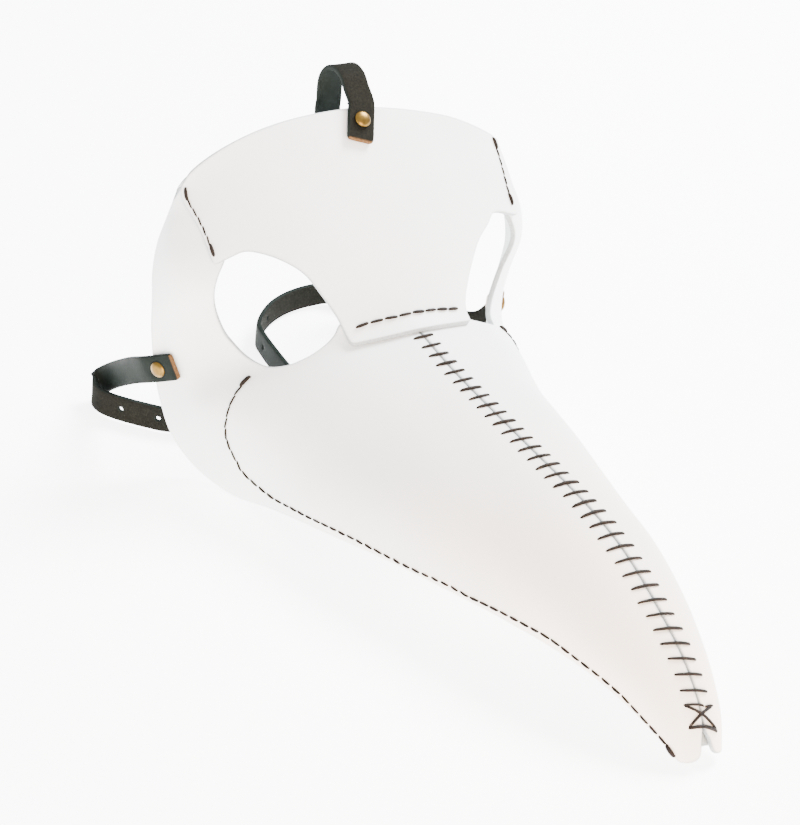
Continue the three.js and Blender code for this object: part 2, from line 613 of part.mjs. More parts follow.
const studPlace = new THREE.Vector3(-30, 12 + STUD_POST / 2, STRAP_REST);
const HOLE_ROWS = { right: [10.4, 12.6], left: [13.6, 16.3, 18.4] };
const strapRoute = { left: sideStrap('left', 1), right: sideStrap('right', -1) };
for (const [name, side] of [['left', 1], ['right', -1]]) {
  const route = strapRoute[name];
  const { foot, normal } = rivetFrame(sideRivet(side));
  const cutters = [cutter(laid(foot), laidDirection(normal), RIVET_HOLE, 16)];
  cutters.push(cutter(studPlace, yAxis, RIVET_HOLE, 12));
  for (const row of HOLE_ROWS[name]) {
    const [x, y, z] = through(route, row);
    const [xNext, yNext] = through(route, row + 0.1);
    const across = new THREE.Vector3(yNext - y, x - xNext, 0).normalize();
    cutters.push(cutter(new THREE.Vector3(x, y, z), across, PUNCHED_HOLE, 8, 6));
  }
  add(part, `side_strap_${name}`, drilled(strapGeometry(route, 36), cutters), strapLeather);
  const inner = foot.clone().addScaledVector(normal, -HIDE);
  add(mask, `side_rivet_${name}`, placedRivet(inner, normal, HIDE + STRAP_THICKNESS + 3.8 * GAP), brass);
}
const studFoot = studPlace.clone();
studFoot.y += (STUD_POST + STRAP_THICKNESS) / 2;
add(part, 'strap_stud', placedRivet(studFoot, yAxis.clone().negate(), STUD_POST + STRAP_THICKNESS), brass);

// Top strap: riveted to the brow, it stands up in a loop, falls behind the forehead and ends in a loop
// of its own round the left side strap, closed by a small rivet
const LOOP_ROW = 6.4;
const TOP_STRAP_TURN = 0.35;
const LOOP_PLY = STRAP_THICKNESS + 2 * GAP;
const LOOP_RIVET_RISE = 13;
function topStrap() {
  const { foot, normal } = forehead;
  const rivetPlace = foot.clone().addScaledVector(normal, ON_STRAP);
  const up = new THREE.Vector3(1, 0, 0).cross(normal).normalize();
  if (up.z < 0) up.negate();
  const turned = new THREE.Quaternion().setFromAxisAngle(normal, -TOP_STRAP_TURN);
  const width = laidDirection(new THREE.Vector3(1, 0, 0).applyQuaternion(turned));
  up.applyQuaternion(turned);
  const start = [-9.5, -4.5, 0, 4.5, 8.5].map((run) => {
    const p = laid(rivetPlace.clone().addScaledVector(up, run));
    return [p.x, p.y, p.z, width.x, width.y, width.z];
  });
  const arc = [[0, 7.5, 161.7], [0, 11.5, 165.8], [0, 17.5, 167.4], [0, 23.5, 165.2], [0, 27.6, 159.2],
    [0.5, 28.4, 150], [2, 28.4, 138]].map((row) => [...row, 1, 0, 0]);
  const [x, y, z] = through(strapRoute.left, LOOP_ROW);
  const [xNext, yNext] = through(strapRoute.left, LOOP_ROW + 0.1);
  const run = new THREE.Vector3(xNext - x, yNext - y, 0).normalize();
  const out = new THREE.Vector3(run.y, -run.x, 0);
  const loopWidth = [run.x, run.y, 0];
  const reach = STRAP_THICKNESS + 4 * GAP;
  const loopAt = (sideways, height) => [x + out.x * sideways, y + out.y * sideways, z + height, ...loopWidth];
  const fall = [[22, 36, 108, 0.85, 0.5, 0], [46, 49, 74, 0.6, 0.75, 0]];
  const half = STRAP_WIDTH / 2;
  const loop = [loopAt(-reach - 1, half + 27), loopAt(-reach, half + 17), loopAt(-reach, half + 8.5),
    loopAt(-reach, half), loopAt(-reach, -half + 1.5), loopAt(-reach * 0.72, -half - 1.3),
    loopAt(0, -half - 2.1), loopAt(reach * 0.72, -half - 1.3), loopAt(reach, -half + 1.5),
    loopAt(reach, half), loopAt(reach * 0.45, half + 4.5), loopAt(-reach + LOOP_PLY, half + 9),
    loopAt(-reach + LOOP_PLY, half + 13), loopAt(-reach + LOOP_PLY, half + 17)];
  return { route: [...start, ...arc, ...fall, ...loop], loopAt, out, reach, half };
}
const top = topStrap();
const [lx, ly, lz] = top.loopAt(-top.reach, top.half + LOOP_RIVET_RISE);
const loopCentre = new THREE.Vector3(lx, ly, lz);
const topCutters = [
  cutter(laid(forehead.foot), laidDirection(forehead.normal), RIVET_HOLE, 16),
  cutter(loopCentre, top.out, RIVET_HOLE, 16),
];
add(part, 'top_strap', drilled(strapGeometry(top.route, 56), topCutters), strapLeather);
const browInner = forehead.foot.clone().addScaledVector(forehead.normal, -HIDE);
add(mask, 'forehead_rivet', placedRivet(browInner, forehead.normal, HIDE + STRAP_THICKNESS + 2 * GAP), brass);
const loopInner = loopCentre.clone().addScaledVector(top.out, STRAP_THICKNESS / 2 + LOOP_PLY + GAP / 2);
const loopGrip = STRAP_THICKNESS + LOOP_PLY + GAP;
add(part, 'loop_rivet', placedRivet(loopInner, top.out.clone().negate(), loopGrip), brass);

mask.applyMatrix4(lie);
part.add(mask);
part.updateMatrixWorld(true);
const box = new THREE.Box3().setFromObject(part, true);
const centre = box.getCenter(new THREE.Vector3());
part.position.set(-centre.x, -centre.y, -box.min.z);

export default part;
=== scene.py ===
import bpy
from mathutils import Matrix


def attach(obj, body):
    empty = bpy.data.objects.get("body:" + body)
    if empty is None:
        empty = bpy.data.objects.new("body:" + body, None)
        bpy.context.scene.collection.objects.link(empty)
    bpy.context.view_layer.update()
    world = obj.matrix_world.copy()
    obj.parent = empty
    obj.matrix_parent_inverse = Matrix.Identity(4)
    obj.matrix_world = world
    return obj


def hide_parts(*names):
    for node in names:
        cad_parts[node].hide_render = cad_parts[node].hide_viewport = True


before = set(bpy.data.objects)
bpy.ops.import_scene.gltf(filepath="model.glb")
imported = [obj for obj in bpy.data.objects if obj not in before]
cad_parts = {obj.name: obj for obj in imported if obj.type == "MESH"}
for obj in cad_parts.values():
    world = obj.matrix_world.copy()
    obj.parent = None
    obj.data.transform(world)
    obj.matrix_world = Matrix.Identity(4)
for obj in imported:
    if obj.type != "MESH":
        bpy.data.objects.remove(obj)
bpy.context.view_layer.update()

import math

import bmesh
import bpy
import numpy as np
from mathutils import Matrix, Vector, geometry, kdtree

# Camera: the mask lies beak forward, seen from above on the wearer's right.
camera = bpy.data.objects.new("camera", bpy.data.cameras.new("camera"))
camera_across = Vector((0.8336, -0.5412, 0.1101))
camera_up = Vector((0.1834, 0.4592, 0.8691))
camera.matrix_world = Matrix((camera_across, camera_up, camera_across.cross(camera_up))).transposed().to_4x4()
camera.location = (-0.47052, -0.60966, 0.47091)
camera.data.lens = 91.636
camera.data.sensor_width = 36
bpy.context.scene.collection.objects.link(camera)
bpy.context.scene.camera = camera

# Side panels. Two hides of firm white leather, about 2.4 mm thick, moulded wet over a form: each is cheek,
# temple and one side of the beak. They meet edge to edge along the ridge, where they are laced, and their
# free edges are cut round the eyes and up under the brow.
#
# A place on the mask is (s, t): rib s, from 0 at the top of the brow to 22 at the tip of the beak, and share
# t of the way from the ridge to the rim. A rib's row holds the ridge, forward and up, the rim, forward and
# up, the half width at the rim, the widest half width and its depth, how peaked the ridge is, and how far the
# rim is flared and the cheek hollowed by the eye. Lengths are in mm.
HIDE = 2.4
RIBS = [
    [-4, 5.5, -20, -15, 79.5, 79.5, 23.5, 0, 0, 0],
    [1.2, -14, -31, -28, 82.5, 83, 31, 0, 3, 0],
    [5.2, -30, -39, -38, 85, 86, 34.5, 0, 6.5, 0],
    [8.4, -46, -44.5, -49, 87, 88, 38, 0, 10.4, 0],
    [10.3, -59, -47.5, -61, 88, 88.5, 44, 0.02, 10.2, 0.2],
    [11.2, -72, -56, -74.5, 86.5, 86, 56, 0.05, 11.5, 3.3],
    [13, -83.5, -66, -88.5, 83, 83, 66, 0.09, 13.6, 4.7],
    [16.5, -89, -70, -102.5, 81, 80.5, 70, 0.12, 14, 4.2],
    [22.5, -94, -69.5, -119, 79, 79, 68, 0.13, 11, 1.9],
    [30, -100.3, -61, -135, 74.5, 76, 66, 0.13, 4, 0],
    [38, -106.7, -42, -148, 68.5, 71.5, 63, 0.12, 0, 0],
    [47, -113.3, -17.5, -154, 64, 66.5, 59.5, 0.11, 0, 0],
    [57.5, -120.5, 8, -161.7, 59.5, 62.5, 55, 0.1, 0, 0],
    [73, -130.8, 36, -170.7, 54, 56.5, 50, 0.1, 0, 0],
    [90, -142, 65, -182.5, 46, 48, 45, 0.1, 0, 0],
    [107, -153.5, 90, -193.5, 38.5, 40, 40, 0.1, 0, 0],
    [122, -165, 109, -203, 32.5, 34.5, 34.5, 0.1, 0, 0],
    [135, -177.3, 123, -211.3, 27, 29.5, 29, 0.1, 0, 0],
    [146, -191, 134.5, -219, 23, 25.5, 24, 0.1, 0, 0],
    [155, -204.7, 143, -226.7, 19.5, 21.5, 19.5, 0.1, 0, 0],
    [161.8, -218, 149.5, -234.5, 16, 17.7, 15.5, 0.1, 0, 0],
    [166.4, -234, 158.5, -246.5, 11.8, 13.2, 11.5, 0.1, 0, 0],
    [167.6, -252.5, 163, -256.6, 8.6, 8.8, 5.4, 0.1, 0, 0],
]
LAST_RIB = len(RIBS) - 1
ROUND_SHARE = 0.8
FLARE_SHARE = 0.43
FLARE_POWER = 1.6
FLARE_WAY = (0.43, 0.9, 0.03)
HOLLOW = (0.28, 0.47, 0.52, 0.76)
LYING_TILT = math.radians(27.85)
LYING_PLACE = (-1.045, 77.07, 150.478)


def smooth(x, low, high):
    k = np.clip((np.asarray(x, float) - low) / (high - low), 0, 1)
    return k * k * (3 - 2 * k)


def through(rows, u):
    """Smooth curve through rows of numbers, which passes row i at u = i."""
    rows = np.asarray(rows, float)
    u = np.asarray(u, float)
    i = np.clip(np.floor(u).astype(int), 0, len(rows) - 2)
    f = (u - i)[..., None]
    ends = np.vstack([2 * rows[0] - rows[1], rows, 2 * rows[-1] - rows[-2]])
    p0, p1, p2, p3 = ends[i], ends[i + 1], ends[i + 2], ends[i + 3]
    return 0.5 * (2 * p1 + (p2 - p0) * f + (2 * p0 - 5 * p1 + 4 * p2 - p3) * f**2
                  + (3 * p1 - p0 - 3 * p2 + p3) * f**3)


def drawn(rows, steps):
    return through(rows, np.linspace(0, len(rows) - 1, steps))


def shell(s, t):
    """Point of the moulded shell, as the mask is worn; t is below 0 on the right."""
    row = through(RIBS, np.clip(s, -0.3, LAST_RIB + 0.2))
    cf, cu, rf, ru, rim_half, widest, widest_depth, peak, rim_flare, eye_hollow = np.moveaxis(row, -1, 0)
    length = np.hypot(rf - cf, ru - cu)
    deep = np.minimum(widest_depth, 0.995 * length)
    share = np.abs(t)
    turn = np.clip(share / ROUND_SHARE, 0, 1) * math.pi / 2
    soft_turn = np.sqrt(turn**2 + 0.001) - 0.0316
    back = np.maximum(share - ROUND_SHARE, 0) / (1 - ROUND_SHARE)
    depth = deep * ((1 - peak) * (1 - np.cos(turn)) + peak * np.sin(soft_turn)) + (length - deep) * back
    half = widest * np.sin(turn) - (widest - rim_half) * back**2
    hollow = smooth(share, *HOLLOW[:2]) * (1 - smooth(share, *HOLLOW[2:]))
    bent = (np.maximum(share - FLARE_SHARE, 0) / (1 - FLARE_SHARE)) ** FLARE_POWER
    flare = rim_flare * bent - eye_hollow * hollow
    out_way, forward_way, up_way = FLARE_WAY
    forward = cf + (rf - cf) * depth / length + forward_way * flare
    up = cu + (ru - cu) * depth / length + up_way * flare
    return np.stack([(half + out_way * flare) * np.sign(t), -forward, up], -1)


def unit(v):
    return v / np.linalg.norm(v, axis=-1, keepdims=True)


def uneven(p):
    """Slow rise and fall that hand moulding leaves in the hide, in mm."""
    x, y, z = np.moveaxis(p, -1, 0)
    return (0.2 * np.sin(x / 13 + y / 29 + 1) + 0.2 * np.sin(y / 17 - z / 23)
            + 0.14 * np.sin(z / 9 + x / 31 + 2) + 0.08 * np.sin(x / 6 - y / 8 + z / 7))


def shell_normal(s, t):
    along = shell(s + 0.004, t) - shell(s - 0.004, t)
    across = shell(s, t + 0.002) - shell(s, t - 0.002)
    return unit(np.cross(along, across))


def on_shell(s, t, height):
    p = shell(s, t)
    return p + shell_normal(s, t) * (height + uneven(p))[..., None]


def lying(p):
    """From the mask as worn, in mm, to the mask as it lies, in metres."""
    x, y, z = np.moveaxis(np.asarray(p, float), -1, 0)
    c, d = math.cos(LYING_TILT), math.sin(LYING_TILT)
    return (np.stack([x, y * c + z * d, z * c - y * d], -1) + LYING_PLACE) / 1000


def run_along(points):
    """How far along a line of points each of them lies."""
    return np.append(0, np.cumsum(np.linalg.norm(np.diff(points, axis=0), axis=1)))


def slopes(place, uv, step=1e-3):
    """How the face moves for a change of u and of v."""
    du, dv = np.array([step, 0]), np.array([0, step])
    return ((place(uv + du, 0) - place(uv - du, 0)) / (2 * step),
            (place(uv + dv, 0) - place(uv - dv, 0)) / (2 * step))


def moved_by(pu, pv, way):
    """Change of u and v that moves a point of the face by a direction."""
    a, b, c = (pu * pu).sum(-1), (pu * pv).sum(-1), (pv * pv).sum(-1)
    p, q = (pu * way).sum(-1), (pv * way).sum(-1)
    det = a * c - b * b
    return np.stack([(c * p - b * q) / det, (a * q - b * p) / det], -1)


def even_loop(place, uv, spacing, rounds=3):
    """A closed outline with its points evenly spaced and its corners a little rounded."""
    closed = np.vstack([uv, uv[:1]])
    run = run_along(place(closed, 0))
    count = max(int(run[-1] / spacing), 12)
    at = np.arange(count) * run[-1] / count
    loop = np.stack([np.interp(at, run, closed[:, 0]), np.interp(at, run, closed[:, 1])], -1)
    for _ in range(rounds):
        loop = (np.roll(loop, 1, 0) + 2 * loop + np.roll(loop, -1, 0)) / 4
    return loop


def punched(place, centre, radius, count=20):
    """Round hole of a radius in mm, as a loop on the face."""
    uv = np.tile(np.asarray(centre, float), (count, 1))
    pu, pv = slopes(place, uv)
    e1 = unit(pu)
    e2 = unit(np.cross(np.cross(pu, pv), pu))
    angle = np.arange(count) * 2 * math.pi / count
    way = radius * (np.cos(angle)[:, None] * e1 + np.sin(angle)[:, None] * e2)
    return uv + moved_by(pu, pv, way)


def filling(place, u_ends, v_ends, spacing, middle):
    """Points over a face, in staggered rows about a spacing apart."""
    us = np.linspace(*u_ends, 400)
    run = run_along(place(np.stack([us, np.full(400, middle)], -1), 0))
    rows = np.interp(np.arange(0, run[-1], spacing), run, us)
    out = []
    for k, u in enumerate(rows):
        vs = np.linspace(*v_ends, 200)
        line = place(np.stack([np.full(200, u), vs], -1), 0)
        span = run_along(line)
        at = np.arange(spacing * (0.25 + 0.5 * (k % 2)), span[-1], spacing)
        out.append(np.stack([np.full(len(at), u), np.interp(at, span, vs)], -1))
    return np.vstack(out)


def inside(points, loops):
    """Which points of a plane lie inside the outline and outside the holes."""
    found = np.zeros(len(points), bool)
    for loop in loops:
        for a, b in zip(loop, np.roll(loop, -1, 0)):
            crosses = (a[1] > points[:, 1]) != (b[1] > points[:, 1])
            if crosses.any():
                x = a[0] + (points[:, 1] - a[1]) * (b[0] - a[0]) / (b[1] - a[1] or 1e-12)
                found ^= crosses & (points[:, 0] < x)
    return found


def cut_leather(name, place, loops, inner, flat, thickness, to_metres, edge=0.55, raw=None):
    """A piece cut from flat leather: two faces, and cut edges whose corners are rubbed round.

    place(uv, height) gives points over the face, loops are the outline and then the holes, inner the points
    between them and flat(uv) a plane in which the piece lies without folds. "cut" and "flesh" are kept on
    the points, for the colour of the cut edge and of the back; "cut" also reaches a little onto the rims of
    both faces, as painted shade along the edges.
    """
    insets, edges, ways = [], [], []
    for k, loop in enumerate(loops):
        plane = flat(loop)
        area = (plane[:, 0] * np.roll(plane[:, 1], -1) - np.roll(plane[:, 0], -1) * plane[:, 1]).sum()
        if (area > 0) == (k > 0):
            loop = loop[::-1]
        pu, pv = slopes(place, loop)
        ahead = place(np.roll(loop, -1, 0), 0) - place(np.roll(loop, 1, 0), 0)
        side = unit(np.cross(np.cross(pu, pv), ahead))
        way = moved_by(pu, pv, side)
        turn = flat(np.roll(loop, -1, 0)) - flat(np.roll(loop, 1, 0))
        step = flat(loop + way * 1e-3) - flat(loop)
        if np.median(turn[:, 0] * step[:, 1] - turn[:, 1] * step[:, 0]) < 0:
            way = -way
        insets.append(loop + way * edge)
        edges.append(loop)
        ways.append(way)
    rim = np.vstack(insets)
    flat_rim = flat(rim)
    near = kdtree.KDTree(len(rim))
    rim_points = place(rim, 0)
    for i, p in enumerate(rim_points):
        near.insert(p, i)
    near.balance()
    gaps = np.linalg.norm(rim_points - np.roll(rim_points, -1, 0), axis=1)
    clear = 0.75 * float(np.median(gaps))
    flat_loops = [flat(loop) for loop in insets]
    inner = inner[inside(flat(inner), flat_loops)]
    inner = inner[[near.find(p)[2] > clear for p in place(inner, 0)]]
    uv = np.vstack([rim, inner])
    constraints, start = [], 0
    for loop in insets:
        n = len(loop)
        constraints += [(start + i, start + (i + 1) % n) for i in range(n)]
        start += n
    points, _, faces, sources, _, _ = geometry.delaunay_2d_cdt(
        [Vector(p) for p in np.vstack([flat_rim, flat(inner)])], constraints, [], 0, 1e-7)
    first = np.array([s[0] if s else -1 for s in sources])
    tris = first[np.array(faces)]
    tris = tris[(tris >= 0).all(1)]
    plane = flat(uv)
    tris = tris[inside(plane[tris].mean(1), flat_loops)]
    verts = [place(uv, 0), place(uv, np.full(len(uv), -float(thickness)))]
    cut = [np.zeros(len(uv)), np.zeros(len(uv))]
    flesh = [np.zeros(len(uv)), np.ones(len(uv))]
    shades = [np.ones(len(loop)) if raw is None else raw(loop) for loop in edges]
    # Painted shade: the rims of both faces take part of the cut edge's colour, a darker line along every
    # edge.
    face_rim_shade, back_rim_shade = 0.3, 0.5
    cut[0][:len(rim)] = face_rim_shade * np.concatenate(shades)
    cut[1][:len(rim)] = back_rim_shade * np.concatenate(shades)
    quads = []
    count, start = 2 * len(uv), 0
    e = min(edge, 0.42 * thickness)
    level = [(0.3 * edge, -0.3 * e), (0, -e), (0, e - thickness), (0.3 * edge, 0.3 * e - thickness)]
    for loop, way, shade in zip(edges, ways, shades):
        n = len(loop)
        ring = [start + np.arange(n)]
        for k, (inward, height) in enumerate(level):
            verts.append(place(loop + way * inward, np.full(n, height)))
            cut.append(shade * (0.7, 1, 1, 0.9)[k])
            flesh.append(np.zeros(n))
            ring.append(count + np.arange(n))
            count += n
        ring.append(len(uv) + start + np.arange(n))
        for a, b in zip(ring, ring[1:]):
            quads.append(np.stack([a, np.roll(a, -1), np.roll(b, -1), b], -1))
        start += n
    verts = to_metres(np.vstack(verts))
    faces = [tuple(f) for f in tris.tolist()]
    faces += [tuple(f) for f in (tris[:, ::-1] + len(uv)).tolist()]
    faces += [tuple(f) for f in np.vstack(quads).tolist()]
    return made(name, verts, faces, cut=np.concatenate(cut), flesh=np.concatenate(flesh))


def made(name, verts, faces, **marks):
    """A mesh object at the origin, its faces turned out, with marks kept on its points."""
    mesh = bpy.data.meshes.new(name)
    mesh.from_pydata(np.asarray(verts).tolist(), [], faces)
    for mark, values in marks.items():
        mesh.attributes.new(mark, "FLOAT", "POINT").data.foreach_set("value", np.asarray(values, np.float32))
    work = bmesh.new()
    work.from_mesh(mesh)
    bmesh.ops.recalc_face_normals(work, faces=work.faces)
    work.to_mesh(mesh)
    work.free()
    mesh.shade_smooth()
    obj = bpy.data.objects.new(name, mesh)
    bpy.context.scene.collection.objects.link(obj)
    return obj


class Tone:
    """A socket of a material's nodes. Arithmetic on it adds the nodes that work it out."""

    def __init__(self, nodes, socket=None):
        self.nodes = nodes
        self.socket = socket

    def add(self, kind, settings, sockets, output=0):
        node = self.nodes.nodes.new(kind)
        for key, value in settings.items():
            setattr(node, key, value)
        for key, value in sockets.items():
            if isinstance(value, Tone):
                self.nodes.links.new(value.socket, node.inputs[key])
            else:
                node.inputs[key].default_value = value
        return Tone(self.nodes, node.outputs[output])

    def maths(self, operation, *values, clamp=False):
        settings = {"operation": operation, "use_clamp": clamp}
        return self.add("ShaderNodeMath", settings, dict(enumerate(values)))

    def __add__(self, other):
        return self.maths("ADD", self, other)

    __radd__ = __add__

    def __sub__(self, other):
        return self.maths("SUBTRACT", self, other)

    def __rsub__(self, other):
        return self.maths("SUBTRACT", other, self)

    def __mul__(self, other):
        return self.maths("MULTIPLY", self, other)

    __rmul__ = __mul__

    def between(self, low, high):
        """0 below low, 1 above high, and an even slope between."""
        return self.maths("MULTIPLY", self - low, 1 / (high - low), clamp=True)

    def mix(self, below, above):
        """From one colour to another as this value goes from 0 to 1."""
        return self.add("ShaderNodeMix", {"data_type": "RGBA"}, {0: self, 6: below, 7: above}, output=2)


def material(name, **fixed):
    """A material, its nodes and its surface shader, whose even values are set on the shader itself."""
    new = bpy.data.materials.new(name)
    new.use_nodes = True
    shader = new.node_tree.nodes["Principled BSDF"]
    for socket, value in fixed.items():
        shader.inputs[socket.replace("_", " ")].default_value = value
    return new, Tone(new.node_tree), shader


def feed(shader, **tones):
    """Links what changes over the surface to the shader's sockets."""
    for socket, tone in tones.items():
        tone.nodes.links.new(tone.socket, shader.inputs[socket.replace("_", " ")])


white_leather, tone, shader = material("white_leather", Specular_IOR_Level=0.45)
where = tone.add("ShaderNodeTexCoord", {}, {}, output="Object")
cut_edge_and_rim_shade = tone.add("ShaderNodeAttribute", {"attribute_name": "cut"}, {}, output="Fac")
flesh_side = tone.add("ShaderNodeAttribute", {"attribute_name": "flesh"}, {}, output="Fac")


def noise(scale, detail=2.0, roughness=0.5, stretch=None):
    at = where
    if stretch:
        at = tone.add("ShaderNodeMapping", {}, {"Vector": where, "Scale": stretch})
    return tone.add("ShaderNodeTexNoise", {}, {
        "Vector": at, "Scale": scale, "Detail": detail, "Roughness": roughness})


clouds = noise(22, 3)
mottle = noise(160, 3, 0.6)
fibres = noise(1400, 2, 0.6)
specks = tone.add("ShaderNodeTexVoronoi", {"feature": "DISTANCE_TO_EDGE"}, {"Vector": where, "Scale": 1100})
cells = tone.add("ShaderNodeTexVoronoi", {}, {"Vector": where, "Scale": 240, "Randomness": 1.0})
fleck = (1 - cells.between(0.02, 0.12)) * noise(95, 2).between(0.62, 0.72)
grain_colour = clouds.between(0.35, 0.7).mix((0.76, 0.77, 0.775, 1), (0.81, 0.815, 0.815, 1))
grain_colour = (mottle.between(0.45, 0.8) * 0.2).mix(grain_colour, (0.74, 0.735, 0.72, 1))
# Painted warm light: the white turns cream towards the beak, by place along the mask, standing in for warm
# light bounced onto the lower beak.
along = tone.add("ShaderNodeSeparateXYZ", {}, {"Vector": where}, output="Y")
painted_warm_bounce = along.between(0.02, -0.15) * (0.75 + clouds * 0.25)
grain_colour = painted_warm_bounce.mix(grain_colour, (0.86, 0.745, 0.65, 1))
grain_colour = (fleck * 0.4).mix(grain_colour, (0.5, 0.43, 0.36, 1))
flesh_colour = fibres.between(0.3, 0.7).mix((0.66, 0.69, 0.69, 1), (0.8, 0.82, 0.81, 1))
# Painted shade: the cut edges are a darkened grey, and part of that grey reaches onto the rims of both faces
# as a darker line.
shaded_edge_colour = fibres.between(0.3, 0.7).mix((0.24, 0.26, 0.27, 1), (0.42, 0.44, 0.44, 1))
surface = flesh_side.mix(grain_colour, flesh_colour)
feed(shader, Base_Color=cut_edge_and_rim_shade.between(0.15, 0.75).mix(surface, shaded_edge_colour),
     Roughness=0.46 + mottle * 0.12 + flesh_side * 0.3 + cut_edge_and_rim_shade * 0.15)
height = specks.between(0.0, 0.25) * 0.25 + mottle * 0.5 + fibres * (0.12 + flesh_side * 0.8 + cut_edge_and_rim_shade * 0.6)
bump = tone.add("ShaderNodeBump", {}, {"Strength": 0.22, "Distance": 0.0004, "Height": height})
feed(shader, Normal=bump)

SEAM_HALF_GAP = 0.16
TIP_HALF_GAP = {1: 0.9, -1: 2.4}
TIP_OPENS = (21.2, 22)
SKIVED_TIP = 0.15
EYE_CORNER = {
    -1: [(5.75, 0.18), (5.95, 0.2), (6.18, 0.209), (6.74, 0.247), (7.13, 0.294), (7.33, 0.342)],
    1: [(6.2, 0.15), (6.65, 0.18), (6.95, 0.212), (7.12, 0.245), (7.28, 0.285), (7.37, 0.332)],
}
EYE_RIM = [
    (7.39, 0.373), (7.26, 0.416), (6.95, 0.442), (6.49, 0.465), (5.93, 0.487), (5.4, 0.513), (4.65, 0.53),
    (4.1, 0.528), (3.56, 0.507), (3.17, 0.482),
]
UNDER_TAB = [(5.3, 0.01), (5.42, 0.1)]
TIP_END = [
    (21.6, 0.09), (21.84, 0.13), (21.97, 0.211), (21.99, 0.366), (21.925, 0.555), (21.69, 0.837),
    (21.28, 0.983), (21, 1),
]
UNDER_BROW = {
    -1: [(2.6, 0.465), (1.9, 0.49), (1.2, 0.53), (0.6, 0.58), (0.26, 0.64)],
    1: [(2.6, 0.43), (1.9, 0.43), (1.3, 0.44), (0.9, 0.455), (0.66, 0.475), (0.62, 0.52), (0.56, 0.565),
        (0.46, 0.62)],
}
SIDE_RIVET = {1: (6.1, 0.9), -1: (6.1, 0.87)}
RIVET_HOLE_RADIUS = 1.8
EDGE_SPACING = 1.1
FILL_SPACING = 1.35


def share_at(s, half):
    """Share t at a half width in mm."""
    widest = through(RIBS, np.clip(s, 0, LAST_RIB))[..., 5]
    return ROUND_SHARE * np.arcsin(np.clip(half / widest, 0, 1)) * 2 / math.pi


def seam_half(s, side):
    """Half width of the seam on the ridge, which opens at the tip."""
    return SEAM_HALF_GAP + TIP_HALF_GAP[side] * smooth(s, *TIP_OPENS)


def rim_share(s):
    return 1 - 0.2 * (1 - smooth(s, 0.2, 1.1))


def skived(s):
    """Share of the hide's thickness, pared down a little towards the tip."""
    return 1 - SKIVED_TIP * smooth(s, 20.5, LAST_RIB)


def girth(s):
    row = through(RIBS, np.clip(s, 0, LAST_RIB))
    length = np.hypot(row[..., 2] - row[..., 0], row[..., 3] - row[..., 1])
    return length * 0.75 + row[..., 5] * 0.8


RUN_RIBS = np.linspace(0, LAST_RIB, 441)
RIB_RUN = run_along(shell(RUN_RIBS, 0.5))


def shell_plane(uv):
    """The shell rolled out roughly flat."""
    s, t = uv[:, 0], uv[:, 1]
    past = 8 * (s - np.clip(s, 0, LAST_RIB))
    return np.stack([np.interp(s, RUN_RIBS, RIB_RUN) + past, t * girth(s)], -1)


def side_panel(name, side):
    def place(uv, height):
        s, t = uv[..., 0], uv[..., 1]
        p = on_shell(s, t, height * skived(s))
        p[..., 0] = side * np.maximum(side * p[..., 0], seam_half(s, side))
        return p

    ridge = np.linspace(TIP_END[0][0], UNDER_TAB[0][0] + 0.3, 400)
    rim = np.linspace(0.26, TIP_END[-1][0], 600)
    outline = np.vstack([
        np.stack([ridge, share_at(ridge, seam_half(ridge, side))], -1),
        drawn(UNDER_TAB + EYE_CORNER[side] + EYE_RIM, 240), drawn(UNDER_BROW[side], 60),
        np.stack([rim, rim_share(rim)], -1), drawn(TIP_END[::-1], 60),
    ])
    loops = [even_loop(place, outline * (1, side), EDGE_SPACING)]
    loops.append(punched(place, SIDE_RIVET[side] * np.array((1, side)), RIVET_HOLE_RADIUS))
    inner = filling(place, (0, LAST_RIB), (0, side * 1.0), FILL_SPACING, side * 0.5)
    return cut_leather(name, place, loops, inner, shell_plane, HIDE, lying)


for name, side in (("left", 1), ("right", -1)):
    panel = side_panel(f"cheek_and_beak_side_{name}", side)
    panel.data.materials.append(white_leather)
    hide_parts(f"side_panel_{name}")
    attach(panel, "root")

# Brow. One white hide over the forehead and temples, cut out above both eyes, with a tab down the nose. It
# lies on the side panels, and is stitched to them down the temples and across the tab. Its top edge was
# cut by hand, a little lower on the wearer's left.
BROW_BASE = 0.2
BROW_TOP = BROW_BASE + HIDE
BROW_EDGE = {
    "right": [(0.02, 0), (0, 0.12), (0, 0.249), (0.04, 0.376), (0.14, 0.554), (0.2, 0.656)],
    "left": [(0.02, 0), (0.16, 0.161), (0.29, 0.307), (0.43, 0.41), (0.53, 0.49), (0.57, 0.54)],
}
BROW_SIDE = {
    "right": [(0.44, 0.69), (2.02, 0.57), (3.24, 0.521)],
    "left": [(0.647, 0.563), (1.186, 0.572), (2.12, 0.55), (2.895, 0.53), (3.262, 0.516)],
}
BROW_CORNER = {
    "right": [(3.09, 0.462), (2.99, 0.414), (3.14, 0.366)],
    "left": [(3.158, 0.446), (3.075, 0.396), (3.091, 0.353)],
}
BROW_EYE = [
    (3.38, 0.323), (3.69, 0.285), (4, 0.258), (4.29, 0.242), (4.64, 0.227), (5.11, 0.21), (5.72, 0.193),
    (6.5, 0.19), (7.34, 0.195),
]
TAB_END = [(7.4, 0.19), (7.46, 0.1), (7.49, 0)]
FOREHEAD_RIVET = (0.35, -0.015)


def on_brow(uv, height):
    return on_shell(uv[..., 0], uv[..., 1], height + BROW_TOP)


